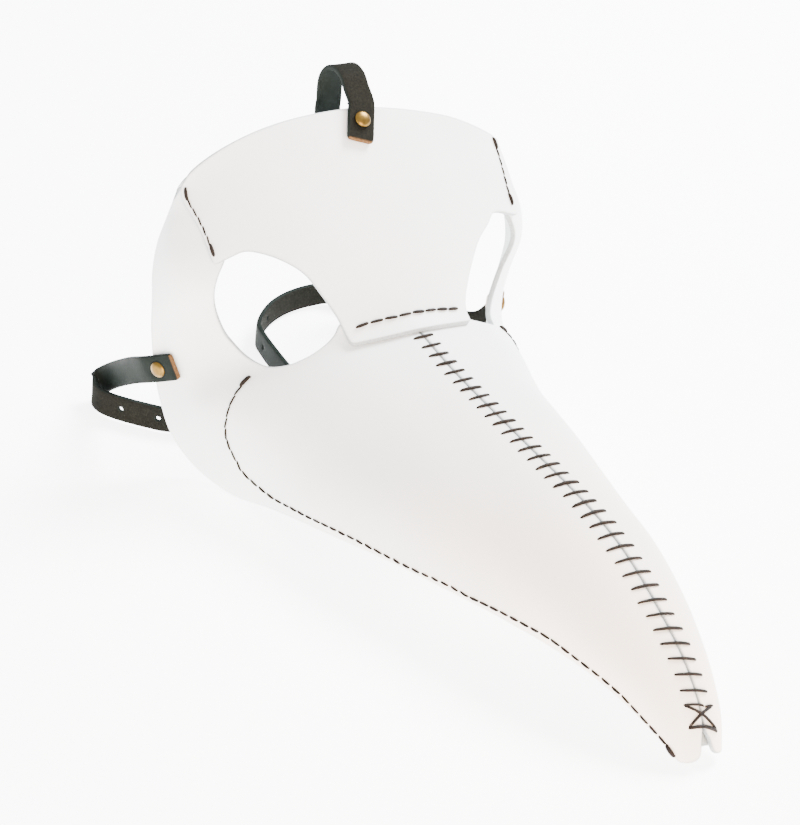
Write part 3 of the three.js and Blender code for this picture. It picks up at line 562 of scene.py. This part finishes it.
brow_half = {}
for name, side in (("left", 1), ("right", -1)):
    brow_half[name] = np.vstack([drawn(BROW_EDGE[name], 120), drawn(BROW_SIDE[name], 60),
                                 drawn(BROW_CORNER[name] + BROW_EYE, 160), drawn(TAB_END, 30)]) * (1, side)
brow_outline = np.vstack([brow_half["left"], brow_half["right"][::-1]])
brow = cut_leather(
    "brow_with_nose_tab", on_brow,
    [even_loop(on_brow, brow_outline, EDGE_SPACING), punched(on_brow, FOREHEAD_RIVET, RIVET_HOLE_RADIUS)],
    filling(on_brow, (0, 7.5), (-0.7, 0.7), FILL_SPACING, 0.4), shell_plane, HIDE, lying)
brow.data.materials.append(white_leather)
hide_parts("brow_panel")
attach(brow, "root")

# Under-beak panel. A gusset of the same white leather that closes the beak below. Its edges are turned up
# inside the side panels and stitched through them; at the back it runs up inside the cheeks in two horns.
GUSSET_START = 8.7
GUSSET_BACK = 11.3
GUSSET_END = 21.6
GUSSET_LEVEL = 0.97
ARCH_POWER = 2 / 2.6
GUSSET_GAP = 0.35
UNEVEN_MARGIN = 0.45
ARCH_ANGLES = np.linspace(0, math.pi / 2, 3000)
ARCH_RUN = np.append(0, np.cumsum(np.hypot(2.2 * np.diff(np.sin(ARCH_ANGLES)**ARCH_POWER),
                                           np.diff(np.cos(ARCH_ANGLES)**ARCH_POWER))))


def rib_wall(s, depth):
    """Half width of the shell on rib s at a depth from its ridge."""
    row = through(RIBS, np.clip(s, 0, LAST_RIB))
    low, high = np.zeros_like(s), np.ones_like(s)
    for _ in range(22):
        middle = (low + high) / 2
        p = shell(s, middle)
        short = np.hypot(-p[..., 1] - row[..., 0], p[..., 2] - row[..., 1]) < depth
        low, high = np.where(short, middle, low), np.where(short, high, middle)
    return shell(s, low)[..., 0]


def gusset_middle(v, c):
    """Point midway through the gusset, v of the way from cheeks to tip and c across it, from -1 to 1."""
    angle = np.interp(np.minimum(np.abs(c), 1) * ARCH_RUN[-1], ARCH_RUN, ARCH_ANGLES)
    w = 1 - angle * 2 / math.pi
    start = GUSSET_START + (GUSSET_BACK - GUSSET_START) * w**0.8
    s = start + (GUSSET_END - start) * np.clip(v, 0, 1) ** (1 + 0.3 * (1 - w))
    row = through(RIBS, s)
    length = np.hypot(row[..., 2] - row[..., 0], row[..., 3] - row[..., 1])
    horn = smooth(s, GUSSET_START - 1, GUSSET_BACK + 0.2)
    level = length * (0.36 + (GUSSET_LEVEL - 0.36) * horn**0.75) - 0.5
    rise = 3.2 + 11.8 * smooth(length, 9, 45)
    depth = level - rise * np.cos(angle) ** ARCH_POWER
    wall = rib_wall(s, depth)
    slope = wall - rib_wall(s, depth - 1)
    clear = (1.5 * HIDE + GUSSET_GAP + UNEVEN_MARGIN) * np.hypot(1, slope)
    narrowed = np.maximum(wall - clear - 1.2 * smooth(s, 20.6, 21.6), 0.5)
    half = narrowed * np.sin(angle) ** ARCH_POWER * np.sign(c)
    forward = row[..., 0] + (row[..., 2] - row[..., 0]) * depth / length
    up = row[..., 1] + (row[..., 3] - row[..., 1]) * depth / length
    return np.stack([half, -forward, up], -1)


def on_gusset(uv, height):
    v, c = uv[..., 0], uv[..., 1]
    along = gusset_middle(np.clip(v + 0.004, 0, 1), c) - gusset_middle(np.clip(v - 0.004, 0, 1), c)
    across = gusset_middle(v, np.clip(c + 0.01, -1, 1)) - gusset_middle(v, np.clip(c - 0.01, -1, 1))
    normal = unit(np.cross(across, along))
    thinned = 0.4 + 0.6 * smooth(v, 0, 0.2)
    return gusset_middle(v, c) + normal * ((height + HIDE / 2) * thinned)[..., None]


gusset_edge = np.linspace(0, 1, 300)
gusset_outline = np.vstack([
    np.stack([gusset_edge, np.full(300, 1.0)], -1),
    np.stack([np.ones(80), np.linspace(1, -1, 80)], -1),
    np.stack([gusset_edge[::-1], np.full(300, -1.0)], -1),
    np.stack([np.zeros(80), np.linspace(-1, 1, 80)], -1),
])
gusset = cut_leather(
    "gusset_under_beak", on_gusset, [even_loop(on_gusset, gusset_outline, 1.6)],
    filling(on_gusset, (0, 1), (-1, 1), 1.8, 0.5), lambda uv: uv * (240, 45), HIDE, lying)
gusset.data.materials.append(white_leather)
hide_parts("under_beak_panel")
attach(gusset, "root")

# Beak stitching. Waxed black thread in saddle stitches down each side of the beak, through side panel and
# gusset: nearly end to end round the back curve, then spaced along the beak. It starts and ends in a
# thick doubled stitch.
BEAK_SEAM = [
    (7.45, 0.492), (7.73, 0.536), (8.01, 0.579), (8.41, 0.644), (8.84, 0.711), (9.06, 0.741), (9.51, 0.787),
    (9.91, 0.823), (10.34, 0.843), (10.69, 0.861), (11.06, 0.883), (11.58, 0.866), (12.05, 0.842),
    (12.62, 0.801), (13.19, 0.791), (13.83, 0.791), (14.48, 0.787), (15.04, 0.81), (16.07, 0.842),
    (16.73, 0.85), (17.45, 0.871), (18.29, 0.862), (19.28, 0.849), (20.25, 0.871), (21.04, 0.827),
    (21.49, 0.804),
]
BEAK_STITCH = 4.9
THREAD = 1.15


def tube(points, radii, sides=8):
    """Vertices and faces of a thread along points, closed at both ends."""
    along = unit(np.gradient(points, axis=0))
    up = np.cross(along[0], (0.3, 0.5, 0.8))
    verts = []
    angle = np.arange(sides) * 2 * math.pi / sides
    for p, a, r in zip(points, along, radii):
        up = up - a * (up @ a)
        up /= np.linalg.norm(up)
        verts.append(p + r * (np.cos(angle)[:, None] * up + np.sin(angle)[:, None] * np.cross(a, up)))
    n = len(points)
    faces = [tuple(range(sides))[::-1], tuple((n - 1) * sides + k for k in range(sides))]
    for i in range(n - 1):
        for k in range(sides):
            a, b = i * sides + k, i * sides + (k + 1) % sides
            faces.append((a, b, b + sides, a + sides))
    return np.vstack(verts), faces


def stitch(place, a, b, thick, sunk=0.8, steps=11, sag=0.0):
    """One stitch from hole a to hole b: it comes out of the leather, lies on it and goes back in."""
    q = np.linspace(0, 1, steps)
    side = np.abs(2 * q - 1)
    uv = np.asarray(a)[None] * (1 - q)[:, None] + np.asarray(b)[None] * q[:, None]
    uv[:, 0] += sag * (1 - side**2)
    radii = thick / 2 * (1 - 0.42 * side**3)
    height = radii * 0.7 - (sunk + thick * 0.35) * smooth(side, 0.8, 1)
    return tube(place(uv, height), radii)


def sewn(name, runs, node):
    """All the stitches of a seam as one piece of thread."""
    verts, faces, count = [], [], 0
    for points, quads in runs:
        verts.append(points)
        faces += [tuple(i + count for i in face) for face in quads]
        count += len(points)
    thread = made(name, lying(np.vstack(verts)), faces)
    thread.data.materials.append(waxed_thread)
    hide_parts(node)
    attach(thread, "root")
    return thread


def spaced(place, rows, spacing):
    """Places along a line on a face, evenly spaced, about a spacing apart."""
    line = drawn(rows, 600)
    run = run_along(place(line, 0))
    count = round(run[-1] / spacing)
    at = np.linspace(0, run[-1], count + 1)
    return np.stack([np.interp(at, run, line[:, 0]), np.interp(at, run, line[:, 1])], -1)


waxed_thread, tone, shader = material("waxed_thread", Specular_IOR_Level=0.1)
where = tone.add("ShaderNodeTexCoord", {}, {}, output="Object")
twist = noise(900, 2, 0.6)
feed(shader, Base_Color=twist.between(0.35, 0.75).mix((0.004, 0.003, 0.0025, 1), (0.02, 0.012, 0.008, 1)),
     Roughness=0.42 + twist * 0.3)
feed(shader, Normal=tone.add("ShaderNodeBump", {}, {"Strength": 0.5, "Distance": 0.0003, "Height": twist}))


def on_panel(uv, height):
    return on_shell(uv[..., 0], uv[..., 1], height * skived(uv[..., 0]))


for name, side in (("left", 1), ("right", -1)):
    holes = spaced(on_panel, np.array(BEAK_SEAM) * (1, side), BEAK_STITCH)
    holes = holes[:-2] if side > 0 else holes
    steps = np.diff(holes, axis=0)
    chance = np.random.default_rng(7 + side)
    runs = []
    for k, (hole, step) in enumerate(zip(holes, steps)):
        dense = 1 - smooth(hole[0], 9.6, 10.6)
        first = k in (0, len(steps) - 1)
        margin = -0.04 if first else 0.09 - 0.08 * dense
        thick = THREAD * (1.5 if first else 0.86 - 0.1 * dense) * chance.uniform(0.92, 1.06)
        wander = np.array([chance.uniform(-0.012, 0.012), side * chance.uniform(-0.0016, 0.0016)])
        tilt = np.array([0, side * 0.003])
        a, b = hole + step * margin + wander - tilt, hole + step * (1 - margin) - wander + tilt
        runs.append(stitch(on_panel, a, b, thick))
    sewn(f"beak_seam_{name}", runs, f"beak_stitching_{name}")

# Temple stitching. The same waxed thread in saddle stitches down the side edge of the brow, through brow
# and side panel, with a doubled stitch at both ends.
TEMPLE_SEAM = {
    "right": [(0.63, 0.643), (1.91, 0.558), (2.93, 0.516)],
    "left": [(0.692, 0.521), (1.177, 0.516), (1.877, 0.495), (2.392, 0.484), (2.868, 0.483)],
}
TEMPLE_STITCH = 4.4
for name, side in (("left", 1), ("right", -1)):
    holes = spaced(on_brow, np.array(TEMPLE_SEAM[name]) * (1, side), TEMPLE_STITCH)
    steps = np.diff(holes, axis=0)
    chance = np.random.default_rng(17 + side)
    runs = []
    for k, (hole, step) in enumerate(zip(holes, steps)):
        first = k in (0, len(steps) - 1)
        thick = THREAD * (1.35 if first else 0.72) * chance.uniform(0.92, 1.06)
        tilt = np.array([0, side * 0.0022])
        margin = -0.12 if first else 0
        a, b = hole + step * margin - tilt, hole + step * (1 - margin) + tilt
        runs.append(stitch(on_brow, a, b, thick))
    sewn(f"temple_seam_{name}", runs, f"temple_stitching_{name}")

# Tab stitching. One row of the same thread across the nose, which holds the tab to both side panels.
TAB_SEAM = [
    (6.14, -0.16), (6.05, -0.124), (6.02, -0.051), (6, 0), (6.02, 0.051), (6.14, 0.12), (6.23, 0.153),
]
TAB_STITCH = 6.4
holes = spaced(on_brow, TAB_SEAM, TAB_STITCH)
chance = np.random.default_rng(5)
runs = []
for hole, step in zip(holes, np.diff(holes, axis=0)):
    wander = np.array([chance.uniform(-0.03, 0.03), 0])
    thick = THREAD * chance.uniform(1.05, 1.25)
    runs.append(stitch(on_brow, hole + step * 0.05 + wander, hole + step * 0.95 - wander, thick))
sewn("tab_seam", runs, "tab_stitching")

# Ridge lacing. Thick waxed thread laced across the butt seam of the two side panels in 34 bars, from the
# nose tab to the tip of the beak, where it ends in a crossed stitch. It runs from bar to bar in the seam.
LACING_BARS = 34
LACING_FIRST = 7.8
LACING_LAST = 20.6
LACING_THREAD = 1.32
CROSS = [(20.8, -6.3), (21, 6.4), (21.28, -6.5), (21.54, 6.8)]
CROSS_SAG = (21.02, 2.2)


def on_ridge(uv, height):
    """Place on the shell at rib u, v mm to the left of the ridge."""
    t = np.sign(uv[..., 1]) * share_at(uv[..., 0], np.abs(uv[..., 1]))
    return on_shell(uv[..., 0], t, height)


ribs = np.linspace(LACING_FIRST, LACING_LAST, 800)
run = run_along(shell(ribs, 0.0))
bar_ribs = np.interp(np.linspace(0, run[-1], LACING_BARS), run, ribs)
per_rib = np.gradient(run, ribs)
chance = np.random.default_rng(3)
runs = []
for k, s in enumerate(bar_ribs):
    half = 5.3 + 1.6 * smooth(k, 0, 24) - 0.7 * smooth(k, 26, 33)
    mm = 1 / np.interp(s, ribs, per_rib)
    drop = (3.6 * smooth(k, 19, 33) + chance.uniform(-0.5, 0.5)) * mm
    left = half * chance.uniform(0.94, 1.05)
    right = half * chance.uniform(0.94, 1.05)
    thick = LACING_THREAD * chance.uniform(0.88, 1.1)
    runs.append(stitch(on_ridge, (s - drop / 2, -right), (s + drop / 2, left), thick, sunk=0.5, steps=17,
                       sag=(0.3 + 0.5 * smooth(k, 14, 30)) * mm))
near_top, far_top, near_end, far_end = CROSS
for a, b, thick in ((near_top, far_end, 1.15), (near_end, far_top, 1.15), (near_end, far_end, 1.5),
                    (near_top, CROSS_SAG, 1.05), (CROSS_SAG, far_top, 1.05)):
    runs.append(stitch(on_ridge, a, b, thick, steps=17))
inside_run = np.linspace(LACING_FIRST - 0.1, CROSS[2][0], 300)
seam_run = np.stack([inside_run, np.zeros(300)], -1)
runs.append(tube(on_ridge(seam_run, np.full(300, -1.5)), np.full(300, 0.55)))
sewn("ridge_lacing_bars", runs, "ridge_lacing")

# Side straps. Black latigo straps 12 mm wide, finished black on the face and along the edges, brown where the
# ends were cut. Each is riveted outside a cheek, falls back to the floor and is punched along its length;
# the two meet on a brass stud.
STRAP_WIDTH = 12
STRAP_THICKNESS = 2.2
PUNCHED_RADIUS = 1.1
CORNER_RADIUS = 0.9
LEFT_TRIM = 0.9
STRAP_ROUTE = {
    "left": [
        [86.31, 75.22, 50.11, 0.293, 0.447, 0.845], [87.89, 79.43, 47.79, 0.293, 0.447, 0.845],
        [91.55, 88.17, 38.28, 0.263, 0.4, 0.861], [91.35, 98.37, 27.28, 0.19, 0.289, 0.9],
        [90.05, 120.37, 18.78, 0.103, 0.157, 0.946], [84.75, 139.77, 13.48, 0.03, 0.046, 0.984],
        [79.75, 154.47, 10.68, 0, 0, 1], [75.85, 170.47, 8.88, 0, 0, 1], [70.55, 180.87, 7.68, 0, 0, 1],
        [64.35, 187.17, 6.98, 0, 0, 1], [55.45, 187.57, 6.98, 0, 0, 1], [46.25, 186.57, 6.98, 0, 0, 1],
        [36.45, 183.67, 6.98, 0, 0, 1], [26.05, 178.17, 6.98, 0, 0, 1], [16.55, 170.17, 6.98, 0, 0, 1],
        [8.05, 159.87, 6.98, 0, 0, 1], [5.15, 149.87, 6.98, 0, 0, 1], [3.05, 138.67, 6.98, 0, 0, 1],
        [0.65, 123.07, 6.98, 0, 0, 1], [-1.25, 108.77, 6.98, 0, 0, 1], [-4.05, 98.57, 6.98, 0, 0, 1],
        [-11.05, 93.57, 6.98, 0, 0, 1], [-20.05, 92.17, 6.98, 0, 0, 1], [-31.05, 92.07, 6.98, 0, 0, 1],
        [-47.05, 92.07, 6.98, 0, 0, 1],
    ],
    "right": [
        [-86.66, 70.48, 52.67, 0.283, -0.448, -0.848], [-89.56, 78.55, 48.4, 0.283, -0.448, -0.848],
        [-92.05, 85.27, 44.98, 0.254, -0.401, -0.864], [-89.85, 100.87, 36.28, 0.184, -0.29, -0.901],
        [-86.15, 118.77, 25.28, 0.1, -0.158, -0.946], [-84.05, 133.07, 15.78, 0.029, -0.047, -0.984],
        [-85.15, 140.07, 9.88, 0, 0, -1], [-88.25, 139.47, 7.68, 0, 0, -1], [-90.95, 134.87, 6.98, 0, 0, -1],
        [-90.65, 127.87, 6.98, 0, 0, -1], [-87.45, 121.27, 6.98, 0, 0, -1], [-82.45, 114.37, 6.98, 0, 0, -1],
        [-76.85, 107.77, 6.98, 0, 0, -1], [-70.85, 101.97, 6.98, 0, 0, -1], [-51.05, 89.57, 6.98, 0, 0, -1],
        [-41.05, 89.07, 6.98, 0, 0, -1], [-31.05, 89.07, 6.98, 0, 0, -1], [-15.05, 89.07, 6.98, 0, 0, -1],
    ],
}
PUNCHED_ROWS = {"left": [13.6, 16.3, 18.4, 23], "right": [10.4, 12.6, 16]}


black_leather, tone, shader = material("black_leather", Specular_IOR_Level=0.006)
where = tone.add("ShaderNodeTexCoord", {}, {}, output="Object")
cut_edge_and_rim_shade = tone.add("ShaderNodeAttribute", {"attribute_name": "cut"}, {}, output="Fac")
flesh_side = tone.add("ShaderNodeAttribute", {"attribute_name": "flesh"}, {}, output="Fac")
grain = tone.add("ShaderNodeTexVoronoi", {"feature": "SMOOTH_F1"}, {"Vector": where, "Scale": 900})
wear = noise(70, 4, 0.6)
fine = noise(1300, 3, 0.6)
face_colour = wear.between(0.4, 0.75).mix((0.008, 0.0104, 0.0092, 1), (0.015, 0.0182, 0.0165, 1))
back_colour = fine.between(0.3, 0.7).mix((0.006, 0.0062, 0.0052, 1), (0.013, 0.0128, 0.0105, 1))
raw_colour = fine.between(0.3, 0.7).mix((0.07, 0.034, 0.014, 1), (0.16, 0.085, 0.04, 1))
surface = flesh_side.mix(face_colour, back_colour)
feed(shader, Base_Color=cut_edge_and_rim_shade.between(0.3, 0.8).mix(surface, raw_colour),
     Roughness=0.36 + wear * 0.16 + flesh_side * 0.2 + cut_edge_and_rim_shade * 0.2)
feed(shader, Normal=tone.add("ShaderNodeBump", {}, {
    "Strength": 0.3, "Distance": 0.0003, "Height": grain * 0.6 + fine * (0.3 + flesh_side * 0.7)}))


def strap(name, route, punches, node, start=0.0):
    """A strap along a route of places and width directions. Each hole is (row of the route, radius)."""
    row_at = np.linspace(0, len(route) - 1, 4000)
    rows = through(route, row_at)
    run = run_along(rows[:, :3])
    length = run[-1]

    def place(uv, height):
        u = uv[..., 0]
        at = np.interp(u, run, row_at)
        here = through(route, at)
        step = 0.03
        along = unit(through(route, at + step)[..., :3] - through(route, at - step)[..., :3])
        width = here[..., 3:] - along * (here[..., 3:] * along).sum(-1, keepdims=True)
        width = unit(width)
        out = np.cross(along, width)
        past = u - np.clip(u, 0, length)
        crown = 0.12 * (1 - (2 * uv[..., 1] / STRAP_WIDTH) ** 2)
        lift = height + STRAP_THICKNESS / 2 + crown
        return here[..., :3] + along * past[..., None] + width * uv[..., 1:] + out * lift[..., None]

    half = STRAP_WIDTH / 2
    corner = CORNER_RADIUS
    turn = np.linspace(0, math.pi / 2, 8)
    outline = np.vstack([
        np.stack([start + corner - corner * np.sin(turn), -half + corner - corner * np.cos(turn)], -1),
        np.stack([start + corner - corner * np.cos(turn), half - corner + corner * np.sin(turn)], -1),
        np.stack([length - corner + corner * np.sin(turn), half - corner + corner * np.cos(turn)], -1),
        np.stack([length - corner + corner * np.cos(turn), -half + corner - corner * np.sin(turn)], -1),
    ])
    loops = [even_loop(place, outline, 1.2, 1)]
    for row, radius in punches:
        loops.append(punched(place, (np.interp(row, row_at, run), 0), radius, 16))
    inner = filling(place, (0.6, length - 0.6), (-half, half), 1.5, 0.0)

    def raw(uv):
        ends = np.minimum(uv[:, 0] - start, length - uv[:, 0])
        return np.where(ends < 0.6, 1.0, 0.12)

    obj = cut_leather(name, place, loops, inner, lambda uv: uv, STRAP_THICKNESS, lambda p: p / 1000, raw=raw)
    obj.data.materials.append(black_leather)
    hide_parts(node)
    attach(obj, "root")
    return obj


for name in ("left", "right"):
    punches = [(1, RIVET_HOLE_RADIUS)] + [(row, PUNCHED_RADIUS) for row in PUNCHED_ROWS[name]]
    strap(f"side_strap_black_{name}", STRAP_ROUTE[name], punches, f"side_strap_{name}",
          LEFT_TRIM if name == "left" else 0.0)

# Top strap. The same black strap: riveted to the brow, it stands up in a loop, falls behind the forehead and
# ends in a loop of its own round the left side strap, closed by a small rivet.
TOP_ROUTE = [
    [-6.72, 68.89, 144.72, 0.939, -0.233, -0.252], [-5.01, 72.07, 148.17, 0.939, -0.233, -0.252],
    [-3.46, 74.94, 151.27, 0.939, -0.233, -0.252], [-1.92, 77.81, 154.38, 0.939, -0.233, -0.252],
    [-0.55, 80.36, 157.14, 0.939, -0.233, -0.252], [-1.05, 84.57, 161.98, 1, 0, 0],
    [-1.05, 88.57, 166.08, 1, 0, 0], [-1.05, 94.57, 167.68, 1, 0, 0], [-1.05, 100.57, 165.48, 1, 0, 0],
    [-1.05, 104.67, 159.48, 1, 0, 0], [-0.55, 105.47, 150.28, 1, 0, 0], [0.95, 105.47, 138.28, 1, 0, 0],
    [20.95, 113.07, 108.28, 0.85, 0.5, 0], [44.95, 126.07, 74.28, 0.6, 0.75, 0],
    [73.88, 160.13, 42.86, -0.208, 0.978, 0], [74.86, 160.34, 32.86, -0.208, 0.978, 0],
    [74.86, 160.34, 24.36, -0.208, 0.978, 0], [74.86, 160.34, 15.86, -0.208, 0.978, 0],
    [74.86, 160.34, 5.36, -0.208, 0.978, 0], [75.79, 160.54, 2.56, -0.208, 0.978, 0],
    [78.18, 161.04, 1.76, -0.208, 0.978, 0], [80.58, 161.55, 2.56, -0.208, 0.978, 0],
    [81.51, 161.75, 5.36, -0.208, 0.978, 0], [81.51, 161.75, 15.86, -0.208, 0.978, 0],
    [79.68, 161.36, 20.36, -0.208, 0.978, 0], [77.6, 160.92, 24.86, -0.208, 0.978, 0],
    [77.6, 160.92, 28.86, -0.208, 0.978, 0], [77.6, 160.92, 32.86, -0.208, 0.978, 0],
]
strap("top_strap_black", TOP_ROUTE, [(row, RIVET_HOLE_RADIUS) for row in (2, 15.4, 26)], "top_strap")

# Rivets and stud. Solid brass: a low domed cap of 7.2 mm on a post through the leather, closed over a flat
# washer behind.
RIVETS = {
    "side_rivet_left": ((83.9, 81.55, 48.05), (0.8813, -0.469, -0.0577), 5.44),
    "side_rivet_right": ((-85.53, 80.57, 48.68), (-0.8927, -0.4462, -0.0624), 5.44),
    "forehead_rivet": ((-3.43, 77.73, 148.69), (-0.0087, -0.7327, 0.6805), 5.2),
    "loop_rivet": ((78.82, 161.18, 28.86), (-0.9782, -0.2075, 0), 5.3),
    "strap_stud": ((-31.05, 93.17, 6.98), (0, -1, 0), 5.2),
}
CAP_RADIUS = 3.6
POST_RADIUS = 1.6
WASHER = 0.8

brass, tone, shader = material("brass", Metallic=1.0)
where = tone.add("ShaderNodeTexCoord", {}, {}, output="Object")
tarnish = noise(260, 4, 0.6)
scratches = noise(900, 3, 0.6, (1, 0.2, 1))
feed(shader, Base_Color=tarnish.between(0.35, 0.75).mix((0.17, 0.1, 0.022, 1), (0.075, 0.04, 0.01, 1)),
     Roughness=0.2 + tarnish * 0.2 + scratches * 0.08)
feed(shader, Normal=tone.add("ShaderNodeBump", {}, {
    "Strength": 0.12, "Distance": 0.0002, "Height": scratches}))

for node, (inner_point, axis, grip) in RIVETS.items():
    cap = grip + 0.1
    dome = [(CAP_RADIUS * math.sin(a), cap + 0.35 + 1.65 * math.cos(a)) for a in np.linspace(0, 1.45, 10)]
    profile = dome + [(CAP_RADIUS, cap + 0.22), (CAP_RADIUS - 0.12, cap + 0.02), (POST_RADIUS, cap),
                      (POST_RADIUS, -0.1), (CAP_RADIUS - 0.1, -0.1), (CAP_RADIUS, -0.22),
                      (CAP_RADIUS, -WASHER + 0.1), (CAP_RADIUS - 0.15, -WASHER - 0.1), (0, -WASHER - 0.1)]
    axis = unit(np.array(axis))
    e1 = unit(np.cross(axis, (0.3, 0.2, 0.9)))
    e2 = np.cross(axis, e1)
    turns = np.arange(40) * math.pi / 20
    verts, rings, faces = [], [], []
    for r, h in profile:
        if r == 0:
            rings.append([len(verts)])
            verts.append(np.array(inner_point) + axis * h)
            continue
        rings.append(list(range(len(verts), len(verts) + 40)))
        verts += [np.array(inner_point) + axis * h + r * (math.cos(a) * e1 + math.sin(a) * e2) for a in turns]
    for low, high in zip(rings, rings[1:]):
        for k in range(40):
            a, b = low[k % len(low)], low[(k + 1) % len(low)]
            c, d = high[(k + 1) % len(high)], high[k % len(high)]
            faces.append(tuple(dict.fromkeys((a, b, c, d))))
    rivet = made(f"{node}_brass", np.array(verts) / 1000, faces)
    rivet.data.materials.append(brass)
    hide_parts(node)
    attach(rivet, "root")

# Floor and light: a plain white floor that glows a little, an even white studio, a cool key lamp above on the
# left of the mask and a warm fill lamp low in front.
floor_mesh = bpy.data.meshes.new("floor")
floor_corners = [(x * 6, y * 6, -0.0004) for x, y in ((-1, -1), (1, -1), (1, 1), (-1, 1))]
floor_mesh.from_pydata(floor_corners, [], [(0, 1, 2, 3)])
floor = bpy.data.objects.new("floor", floor_mesh)
bpy.context.scene.collection.objects.link(floor)
floor_paint, tone, shader = material(
    "floor_paint", Base_Color=(0.9, 0.9, 0.9, 1), Roughness=0.9,
    Emission_Color=(1, 1, 1, 1), Emission_Strength=5.0)
floor.data.materials.append(floor_paint)

world = bpy.data.worlds.new("studio")
world.use_nodes = True
world.node_tree.nodes["Background"].inputs["Color"].default_value = (1, 1, 1, 1)
world.node_tree.nodes["Background"].inputs["Strength"].default_value = 2.3
bpy.context.scene.world = world

for name, place, size, power, colour in (
    ("key", (1.1, 0.2, 1.5), 0.9, 170, (0.96, 0.98, 1)),
    ("fill", (-0.35, -0.95, 0.25), 0.5, 22, (1, 0.72, 0.5)),
):
    lamp = bpy.data.objects.new(name, bpy.data.lights.new(name, "AREA"))
    lamp.data.shape = "DISK"
    lamp.data.size = size
    lamp.data.energy = power
    lamp.data.color = colour
    lamp.location = place
    lamp.rotation_euler = (Vector((0, 0, 0.05)) - Vector(place)).to_track_quat("-Z", "Y").to_euler()
    bpy.context.scene.collection.objects.link(lamp)
